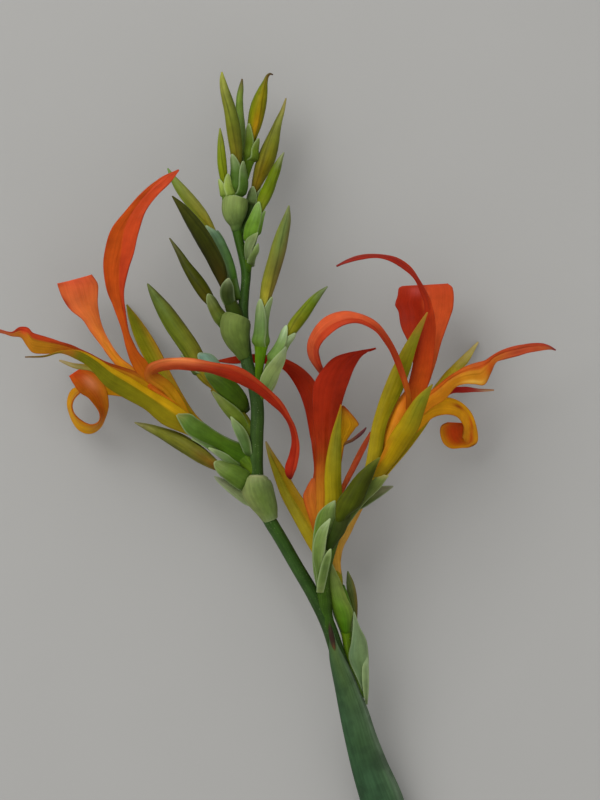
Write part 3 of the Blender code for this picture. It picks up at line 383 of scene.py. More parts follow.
# Bracts and sepals: leafy scales with a bluish bloom and thin pale margins that let light through.
leafyScale = plantSkin({
    "name": "leafy bract", "lineSpacing": 0.4, "lineLength": 6.0, "veinDepth": 0.16, "cloudSize": 2.0,
    "cloudDepth": 0.15, "roughness": 0.5, "relief": 0.45, "rimColour": "a4b486", "rimWidth": 0.45,
    "rimStrength": 0.55, "glow": 0.05,
})
# Ovary and cups: smooth fleshy green with a pale waxy bloom.
fleshyCup = plantSkin({
    "name": "fleshy cup", "lineSpacing": 0.6, "lineLength": 5.0, "veinDepth": 0.14, "cloudSize": 2.2,
    "cloudDepth": 0.14, "roughness": 0.48, "relief": 0.4, "glow": 0.05,
})
# Buds: tightly rolled petals, satin skin with lines that run from foot to tip.
rolledBud = plantSkin({
    "name": "rolled bud", "lineSpacing": 0.35, "lineLength": 7.0, "veinDepth": 0.16, "cloudSize": 2.6,
    "cloudDepth": 0.14, "roughness": 0.4, "relief": 0.4, "glow": 0.05,
})
# Petals: narrow, firm and satin, green to gold with close parallel veins.
satinPetal = plantSkin({
    "name": "satin petal", "lineSpacing": 0.32, "lineLength": 8.0, "veinDepth": 0.1, "cloudSize": 2.4,
    "cloudDepth": 0.12, "roughness": 0.4, "relief": 0.35, "rimColour": "9a6a10", "rimWidth": 0.22,
    "rimStrength": 0.45, "glow": 0.08,
})
# Staminodes: the showy blades, silky and thin, with fine veins and a redder rim.
silkyBlade = plantSkin({
    "name": "silky staminode", "lineSpacing": 0.38, "lineLength": 10.0, "veinDepth": 0.08, "cloudSize": 2.8,
    "cloudDepth": 0.12, "roughness": 0.42, "relief": 0.3, "rimColour": "8c1f10", "rimWidth": 0.25,
    "rimStrength": 0.5, "glow": 0.12,
})
# Sheath: old leaf base, waxy grey green, ribbed and blotched.
waxySheath = plantSkin({
    "name": "waxy leaf sheath", "lineSpacing": 0.55, "lineLength": 14.0, "veinDepth": 0.16, "cloudSize": 5.0,
    "cloudDepth": 0.2, "roughness": 0.55, "relief": 0.6, "fleckColour": "223222", "fleckSize": 4.0,
    "fleckFrom": 0.52, "fleckStrength": 0.3, "gloss": 0.1,
})
# Cut flesh: pale wet pith at the cut end of the stem, with fibre dots.
cutFlesh = plantSkin({
    "name": "cut stem flesh", "lineSpacing": 0.5, "lineLength": 0.5, "veinDepth": 0.12, "cloudSize": 1.6,
    "cloudDepth": 0.12, "roughness": 0.6, "relief": 0.6, "fleckColour": "5c6a38", "fleckSize": 0.45,
    "fleckFrom": 0.58, "fleckStrength": 0.7,
})
print("materials ready")

# Stem: one long rod; its darker right side colour is painted shade. Stations: across, down, height, radius
# in squares.
stem = {
    "colours": "242c18 243818 243c14 2a4416 2e4a14 304616 2c421a 2a4216 2e4c0c 32500c 385a16",
    "sides": "344a26 22340e", "stations": [
        (401, 864, 3.9, 8.5), (381, 800, 5.2, 8.5), (363, 740, 7.3, 8.2), (349, 690, 8.9, 7.8),
        (338, 655, 9.8, 7.6), (328, 625, 10.8, 7.2), (314, 596, 11.6, 6.9), (297, 567, 12.4, 6.6),
        (281, 539, 13.1, 6.6), (268, 517, 13.6, 6.8), (259, 495, 14.1, 6.9), (256.5, 470, 14.6, 6.9),
        (256.5, 440, 15, 6.9), (257.5, 410, 15, 6.7), (254, 385, 14.8, 6.5), (247, 362, 14.4, 6.3),
        (244.5, 340, 14, 6), (243, 312, 13.4, 5.5), (245, 290, 13, 4.6), (246, 272, 12.6, 5),
        (242.5, 255, 12.2, 4.6), (239, 240, 11.9, 4.7), (236, 225, 11.6, 4.8), (236, 205, 11.3, 4.8),
        (238, 190, 11.2, 4.4)],
}
addRound("stem", stem, fineness["stem"], 1, onStalk, freshStem)

# Branches that carry the flowers.
branches = {
    "leftBranch": {
        "colours": "5a6c14 4c6410 3c5a0c 46641a", "sides": "546a18 34480c", "stations": [
            (257, 481, 14, 5), (252.6, 470, 14.4, 6.4), (246, 460, 14.2, 7.6), (237, 453, 13.6, 8.4),
            (227.5, 448.5, 13.2, 6.4)]},
    "rightBranch": {
        "colours": "2b4514 2c480e 35500c 41570f 4a5c10", "sides": "3a5418 2a3a10", "stations": [
            (333, 641, 10, 4.6), (329, 627, 11, 6.2), (326, 614, 11.3, 6.6), (324.5, 600, 12, 7.4),
            (323.5, 586, 12.8, 6.4), (325.5, 570, 13.6, 5.4), (331, 550, 14.2, 5), (337, 532, 14.2, 5),
            (344, 519, 14.4, 4.6)]},
    "centreBranch": {
        "colours": "3a5418 4a6420 587410 4e6e08 3c6008", "sides": "5c7c0a 3c5a08", "stations": [
            (355, 714, 8, 4.4), (360, 694, 8.4, 4.6), (354, 676, 8.5, 4.4), (350.5, 660, 8.7, 4.1),
            (348, 645, 8.9, 5), (346.5, 634, 9, 5.6), (344.5, 623, 9.1, 7.6), (342.5, 611, 9.3, 10),
            (340.5, 598, 9.4, 8.6), (338.5, 586, 9.5, 6)]},
}
for index, (name, branch) in enumerate(branches.items()):
    addRound(name, branch, fineness["branch"], 2 + index, onStalk, freshStem)

# Cups: swollen pale collars where the buds spring from the stem.
cups = {
    "topCup": {
        "colours": "3c5424 5c7038 6c7e40 7c8c4e 8a9a68 98a470", "sides": "7e8e50 4e602a", "stations": [
            (236.5, 231, 11.7, 4.8), (236, 225, 11.8, 6.4), (235, 218, 12, 10.6), (234.6, 211, 12, 12.8),
            (235, 204, 11.9, 13.2), (235.6, 200.4, 11.7, 12.7), (236, 197.8, 11.6, 11.4),
            (236.3, 196.2, 11.6, 8.4), (236.5, 195.4, 11.6, 4)]},
    "middleCup": {
        "colours": "42561e 526428 5a6a2e 647238 728048 86905a", "sides": "64723a 4e5e2e", "stations": [
            (245, 358, 14.4, 6.4), (241.5, 350, 14.7, 8.6), (238, 341, 14.9, 12.4), (235.6, 331, 14.9, 15),
            (235.5, 323, 14.7, 15.3), (236.6, 318.6, 14.5, 14.2), (237.4, 316, 14.4, 11.8),
            (238, 314.6, 14.4, 8), (238.4, 314, 14.4, 4)]},
    "lowCup": {
        "colours": "707e50 5c6e34 5a6c30 66763e 80865a 9a9c74", "sides": "7a824e 54623a", "stations": [
            (270.6, 519.8, 13.5, 7.6), (269.2, 516, 13.6, 9), (266, 507.5, 13.9, 12),
            (261, 497.5, 14.3, 14.8), (257.4, 489, 14.6, 16), (256, 481.5, 14.8, 14.6),
            (256, 477.4, 14.8, 12), (256, 475.2, 14.8, 8.6), (256, 474.4, 14.8, 4.2)]},
}
cupFinish = {
    "ribs": 17,
    "ribDepth": 0.004,
    # the cup's own faint streaks, with painted shade in the rib grooves and painted light on the ridges
    "ribStreakAndShade": 0.035,
    "fineRibs": 29,
    "fineShare": 0.6,
    "rimAt": 0.8,  # share of the length
    "rimWidth": 0.06,
    "rimDepth": 0.012,
    # painted highlight along the swollen rim
    "rimHighlight": 0.1,
}


def cupContour(part, angle):
    rib = math.cos(cupFinish["ribs"] * angle)
    rib += cupFinish["fineShare"] * math.sin(cupFinish["fineRibs"] * angle)
    rib *= math.sin(math.pi * clamp(part)) ** 0.5
    rim = math.exp(-((part - cupFinish["rimAt"]) / cupFinish["rimWidth"]) ** 2)
    swell = 1 + cupFinish["ribDepth"] * rib + cupFinish["rimDepth"] * rim
    return swell, 1 + cupFinish["ribStreakAndShade"] * rib + cupFinish["rimHighlight"] * rim


for index, (name, cup) in enumerate(cups.items()):
    addRound(name, cup, fineness["cup"], 6 + index, onStalk, fleshyCup, cupContour)
print("stem and cups done")

# Sheath: across, down, height, radius across in squares, radius up in millimetres.
sheath = {
    "colours": "28402c 2a4430 2d482e 304a30 344e2e 385032 3e5630 445a30 44562c 3c4a24 30401c",
    "sides": "2c4a2e 4a6042", "blushes": [
        ("6c7868", 0.93, 0.4, 0.08, 0.6, 0.35), ("3a281e", 0.5, 0.975, 0.14, 0.035, 0.9),
        ("5c4a26", 0.5, 0.9, 0.1, 0.03, 0.6), ("50302a", 0.66, 0.86, 0.08, 0.012, 0.5)],
    "stations": [
        (401, 864, 3.7, 22.5, 4.3), (391, 832, 3.9, 22, 4.3), (381.5, 800, 5.2, 21, 4),
        (370.6, 770, 6.3, 18.4, 3.8), (361.2, 740, 7.4, 16, 3.5), (354.2, 714, 8.3, 14.4, 3.2),
        (345.4, 684, 9, 11.2, 3), (337.4, 660, 10.4, 7.8, 2.2), (333.4, 645, 11.2, 4.6, 1.3),
        (331.8, 634, 11.9, 2.4, 0.6), (331.2, 628, 12.2, 1.2, 0.25)],
    "ribs": 26, "ribDepth": 0.012, "lipAngle": 0.9, "lipWidth": 0.12, "lipHeight": 0.05,
}


def sheathContour(part, angle):
    rib = math.cos(angle * sheath["ribs"])
    lip = math.exp(-((angle - sheath["lipAngle"]) / sheath["lipWidth"]) ** 2)
    return 1 + sheath["ribDepth"] * rib + sheath["lipHeight"] * lip, 1.0


def keepAboveTable(piece):
    for vert in piece.data.vertices:
        vert.co.z = max(vert.co.z, 0.0)


# A small dark scar where the sheath ends.
leafScar = {
    "colours": "344418 30281a 30221a 38241c 6a3e22 5a5a2a", "sides": "2a2418 34241c", "stations": [
        (329.2, 622, 12.4, 0.6), (330.2, 628, 12.3, 1.8), (331.4, 635, 12.3, 2.5), (332.8, 642, 12.4, 2.5),
        (334, 647, 12.4, 1.7), (335, 651, 12.4, 0.6)],
}
addRound("leafScar", leafScar, fineness["leafScar"], 12, onSheath, waxySheath)
keepAboveTable(addRound("leafSheath", sheath, fineness["sheath"], 10, onSheath, waxySheath, sheathContour))

# The cut end shows pale flesh inside the sheath.
cutFace = {
    "colours": "5c7444", "sides": "5c7444", "heart": "a8b088", "stations": [
        (401.36, 865.2, 3.66, 20, 3.85), (401.2, 864.6, 3.7, 20.6, 3.95), (400.4, 862, 3.8, 20.6, 3.95)],
}
keepAboveTable(addRound("cutFace", cutFace, fineness["cutFace"], 11, onSheath, cutFlesh))
print("sheath done")

# Bracts: leafy scales on the stalk. Stations: left edge, right edge, rise of the middle in millimetres.
bractFinish = {"rowsPerStation": 10, "columns": 12, "thickness": 0.3, "wave": 0.15, "waveLength": 9.0,
               "ribs": 5, "ribDepth": 0.03, "foldDepth": 0.3, "sink": 1.1}
bracts = {
    "middleBackScale": {
        "colours": "3e6414 446428 4d6a3c 5c785a 8aa080", "sides": "56704c 3c5c28", "stations": [
            (231, 284, 14.2, 238, 284, 13.6, 0.3), (225, 266, 14.2, 234.4, 266, 13.2, 0.8),
            (217, 249, 13.9, 227.6, 248.5, 13, 1), (210, 236, 13.4, 220.5, 234.5, 12.8, 0.8),
            (205.3, 226, 12.8, 206.5, 225.6, 12.8, 0)]},
    "middleDarkScale": {
        "colours": "2c4210 303c14 323c16 4a5430 7a8460", "sides": "32401a 4a5a38", "stations": [
            (226, 308, 15.4, 236, 306, 15.2, 0.6), (220.5, 296, 16.6, 234, 295, 16.2, 1),
            (221.6, 286, 17.4, 233, 286, 17, 0.9), (227.6, 278.4, 17.8, 229.2, 278.2, 17.7, 0)]},
    "rightBranchLow": {
        "colours": "4f5d34 5f7038 7a9050", "sides": "7a9050 5f7038", "stations": [
            (247, 266, 13.2, 254, 266, 13, 0.3), (248, 256, 14.2, 255.5, 258, 13.8, 0.5),
            (252, 250, 14.4, 258.8, 251, 13.9, 0.3), (257.5, 243.5, 14.4, 258.5, 243.5, 14.2, 0)]},
    "rightBranchHigh": {
        "colours": "4f5d34 66764a 77864c", "sides": "556831 7f8c56", "stations": [
            (246, 262, 13.6, 251, 262, 13.8, 0.2), (244.6, 249, 14.2, 252, 251, 14.6, 0.4),
            (247, 239, 14.5, 256, 240, 14.8, 0.3), (257.5, 232.5, 14.6, 258.3, 232.8, 14.6, 0)]},
    "bigBudScale": {
        "colours": "5c7650 64806a 6a8674 76866a", "sides": "68806a 6a7c5c", "stations": [
            (208, 374, 13.4, 224, 373, 13, 0.4), (200.5, 364, 14.2, 220, 363.5, 13.6, 0.8),
            (197.4, 356.4, 14.6, 212, 354.5, 14.2, 0.5), (198.6, 353, 14.7, 201.4, 352.4, 14.7, 0)]},
    "bigBudDark": {
        "colours": "3c4c0c 2e3e06 33480a 38500c 44581a 50662c", "sides": "3e5410 34440a", "stations": [
            (243, 414, 14.2, 249.6, 409.6, 14, 0.3), (236.5, 408.5, 15.4, 247.4, 399, 15, 0.8),
            (226.5, 400.6, 16, 241.6, 389, 15.4, 1), (217, 391.6, 15.8, 232.6, 380, 15.2, 0.9),
            (209.5, 383, 15.2, 221, 373.6, 14.8, 0.6), (204.5, 374, 14.6, 208, 370.5, 14.6, 0)],
        "noRim": 0.25},
    "bigBudFront": {
        "colours": "465610 4c5e12 58681a 5e6c26 626c34 687044", "sides": "606e2c 4e6018", "stations": [
            (244.6, 440, 14.6, 251, 433, 14.6, 0.2), (236.5, 427, 15, 247, 422, 15, 0.5),
            (227.6, 416, 15.7, 240, 411, 16.2, 0.8), (218.6, 404, 16.2, 227.4, 400.6, 16.6, 0.5),
            (211.8, 391.6, 15.6, 213.2, 391, 15.6, 0)],
        "noRim": 0.12},
    "stemLeft": {
        "colours": "3c5020 46602c 4e6434 66784a 84905c", "sides": "586c40 46581e", "stations": [
            (246, 458, 15.6, 253, 458, 16, 0.2), (240, 443, 16, 250, 441, 16.5, 0.5),
            (233.2, 428, 16.4, 244, 428, 16.6, 0.4), (230.4, 416.6, 16.5, 231.6, 416.4, 16.5, 0)]},
    "lowBudRight": {
        "colours": "526c2f 74824b 748263", "sides": "74824b 8a9a60", "stations": [
            (258, 392, 15.6, 268, 395, 15.4, 0.3), (262, 374, 17.2, 276, 381, 16.6, 0.6),
            (275, 357, 17.6, 284.5, 362, 16.8, 0.4), (285.6, 346.5, 17.4, 286.6, 347.5, 17.2, 0)]},
    "lowBudThin": {
        "colours": "5a7040 7d854f 8a9860", "sides": "7d854f 8a9860", "stations": [
            (262, 396, 14.6, 268, 398, 14.2, 0.2), (270, 382, 14.9, 275.5, 385, 14.3, 0.3),
            (280.5, 367, 14.8, 281.5, 367.6, 14.7, 0)]},
    "leftFlowerBig": {
        "colours": "345606 38560a 3c560e 425c1a 506a2a 747440", "sides": "3a5410 42561a", "stations": [
            (254, 470, 14.4, 254, 461, 14.6, 0.4), (240, 464, 14.7, 246, 446, 14.7, 1),
            (228, 457, 15, 232, 440, 15, 1.2), (213, 447, 15.2, 217, 432, 15.2, 1.1),
            (199, 440.5, 15.8, 205, 423.5, 15.8, 0.8), (187, 433.5, 16.2, 197, 418.5, 16.2, 0.6),
            (180, 423, 16.5, 190.5, 413.8, 16.5, 0.3), (176.2, 415.4, 16.7, 178.4, 413.6, 16.7, 0)]},
    "leftFlowerSecond": {
        "colours": "3a5c0c 4a5c14 5e6424 54703a 8a9868", "sides": "4a6420 6a7434", "stations": [
            (252, 478, 14, 252, 467, 14.2, 0.3), (236, 468, 14, 240, 456, 14.2, 0.5),
            (220, 457, 14.4, 223, 444, 14.6, 0.5), (206, 447.5, 14.8, 209, 437.5, 15, 0.4),
            (191.4, 439.2, 15.2, 192.4, 438, 15.2, 0)]},
    "leftFlowerThird": {
        "colours": "3c5416 4a6024 58703a 66764a 7e8a5c", "sides": "6c7c4c 4e6028", "stations": [
            (240, 473, 14, 245, 467, 14, 0.2), (229.4, 465, 14.9, 235, 459.6, 14.9, 0.4),
            (218.4, 456.4, 15.8, 223.4, 452.2, 15.8, 0.4), (208.2, 448.2, 15.9, 209, 447.4, 15.9, 0)]},
    "leftFlowerThin": {
        "colours": "64723e 747e54 7e806a", "sides": "74805a 6c7450", "stations": [
            (254, 508, 14.6, 254, 494, 14.8, 0.2), (243, 503, 12.6, 243, 489, 12.8, 0.5),
            (230, 493, 12.4, 233, 484.5, 12.4, 0.4), (219, 483.5, 12.4, 222, 478.5, 12.4, 0.2),
            (213.8, 476.6, 12.4, 214.4, 475.8, 12.4, 0)]},
    "centreFlowerFront": {
        "colours": "3c6008 3e640a 50701c 647834 6c7c3c 7c8450", "sides": "48600e 6a7634", "stations": [
            (343.4, 640, 8.8, 350.4, 640, 8.6, 0.4), (339, 627, 10, 351.6, 627, 9.8, 1),
            (334, 612, 11, 353, 612, 10.8, 1.2), (329, 597, 11.9, 347, 598, 11.7, 0.9),
            (327.8, 582, 12.5, 341, 583, 12.3, 0.6), (328.6, 571, 13, 336.5, 573, 12.9, 0.3),
            (330.8, 563, 13.3, 332.4, 563.4, 13.3, 0)],
        "noRim": 0.2},
    "rightFlowerLow": {
        "colours": "7c8a50 586c32 506430 586a34 90a068", "sides": "5c6e38 64783e", "stations": [
            (316.6, 592, 15, 323.4, 592, 15, 0.2), (317.8, 580, 15.8, 326, 580, 15.8, 0.5),
            (321, 566, 16.8, 329, 566.4, 16.8, 0.5), (324.6, 556, 17.2, 331, 557, 17.2, 0.3),
            (329.6, 548.6, 17.4, 331.2, 548.4, 17.4, 0)]},
    "rightFlowerLeft": {
        "colours": "3c5418 4e642a 5c7032 6c8044 98a878", "sides": "5c7034 86985c", "stations": [
            (317.5, 590, 13, 325, 590, 13, 0.3), (316, 572, 15, 323.5, 574, 15.2, 0.4),
            (313, 556, 16.4, 323.8, 560, 16.6, 0.5), (314, 541, 17, 326, 542, 17.4, 0.5),
            (319, 528.5, 17.3, 328, 530.5, 17.5, 0.3), (329.6, 518, 17.6, 330.6, 518.4, 17.6, 0)]},
    "rightFlowerMiddle": {
        "colours": "3c5010 4e6420 576c2b 5c7030 687c3c 90a070", "sides": "4c6a14 70844c", "stations": [
            (317.4, 590, 13.2, 325, 588, 13.4, 0.2), (313.8, 572, 14, 327, 571, 14.2, 0.5),
            (312.4, 554, 14.5, 331, 552, 14.8, 0.6), (313.5, 535, 15, 335.4, 535, 15.2, 0.7),
            (316.5, 517, 15.4, 335.8, 517, 15.6, 0.6), (322.5, 508, 15.7, 335.8, 506, 15.8, 0.3),
            (333.5, 500.5, 15.8, 335.4, 500.5, 15.8, 0)]},
    "rightFlowerBig": {
        "colours": "38440a 3c4606 40480a 3c4408 363c0a 40480e 626420", "sides": "464a0a 2c3006",
        "stations": [
            (336, 524.5, 18, 338.6, 524, 17.8, 0.2), (335.6, 514, 18.6, 350, 513.5, 18.2, 1.1),
            (337, 502, 19.2, 360.5, 505, 18.9, 1.5), (346, 489, 19.6, 367, 490, 19.6, 1.2),
            (357.5, 474, 19.9, 372, 477.5, 19.9, 0.8), (368, 464.5, 20.1, 376, 467, 20.1, 0.4),
            (379.5, 457, 20.2, 380.3, 457.4, 20.2, 0)],
        "noRim": 0.3},
    "rightFlowerShade": {
        "colours": "2c400e 2a3a0c 2f3a12 343c15 3c4220", "sides": "2e4010 363c18", "stations": [
            (322, 552, 15.4, 330.5, 552, 15.2, 0.3), (326, 541, 16.2, 337, 542.4, 15.8, 0.6),
            (331, 530, 16.8, 344.6, 531, 16.4, 0.8), (334.6, 519, 17.4, 349, 519.4, 17, 0.8),
            (341, 506, 17.6, 352.6, 507.4, 17.2, 0.3)],
        "noRim": 0.3},
    "rightFlowerSide": {
        "colours": "303c14 3c4a1a 465420 4f5c24 606c30 a09858", "sides": "4c5c22 6c743c", "blunt": 0.6,
        "stations": [
            (336, 533, 14.8, 341, 535, 14.6, 0.2), (346, 515, 16.6, 353, 517, 15.8, 0.5),
            (357, 498, 17.6, 366.4, 500.5, 16.4, 0.6), (366, 484, 18, 378.4, 488.5, 16.8, 0.6),
            (371, 477.4, 17.8, 384.4, 481, 17, 0.4), (374.6, 473.6, 17.5, 388.6, 475.6, 17.2, 0.2)]},
    "rightFlowerUnder": {
        "colours": "2c3a0c 303e08 38460e 525c28 727250 6a6454", "sides": "6c7044 2c3a10", "stations": [
            (329, 541, 14, 334, 544.6, 13.8, 0.2), (336.5, 526, 14.2, 343.6, 532, 13.6, 0.4),
            (345, 510, 14.4, 352.6, 514, 13.6, 0.5), (357, 497, 14.4, 365.4, 506, 13.4, 0.6),
            (369.5, 489.8, 14, 377.6, 498.4, 13.2, 0.5), (380.6, 486, 13.7, 386.6, 491.8, 13.2, 0.3),
            (392.6, 485.6, 13.4, 393.4, 486.4, 13.3, 0)]},
    "lowestPair": {
        "colours": "44582c 4e6438 546a40 5c7048 62744e 5c6c4c", "sides": "52684a 6a7c54", "stations": [
            (363.6, 696, 9.4, 367.6, 695, 9.2, 0), (360, 685, 10, 368, 683, 9.8, 0.3),
            (354.6, 673, 10.6, 368.4, 670.5, 10.2, 0.6), (349.2, 658, 11, 368.3, 656, 10.6, 0.9),
            (351.4, 643, 11.1, 366.2, 641, 10.8, 0.7), (353, 627, 10.9, 359.4, 626.6, 10.8, 0.3),
            (353.4, 612, 10.6, 354.6, 612, 10.6, 0)]},
    "lowestThin": {
        "colours": "5a6c3e 64764a 6c7e54 8a9c74", "sides": "667a4c 84966c", "stations": [
            (365.6, 705, 9.4, 367.4, 705, 9.2, 0), (363.2, 692, 10.6, 368.4, 692, 10.2, 0.2),
            (362.4, 678, 11.2, 368.6, 677, 10.8, 0.3), (362.8, 664, 11.2, 368.2, 663, 10.9, 0.2),
            (365.2, 649.5, 10.9, 366.2, 649.5, 10.9, 0)]},
}
for index, (name, leaf) in enumerate(bracts.items()):
    addLeaf(name + "Bract", leaf, bractFinish, 20 + index, onStalk, leafyScale)
print("bracts done")

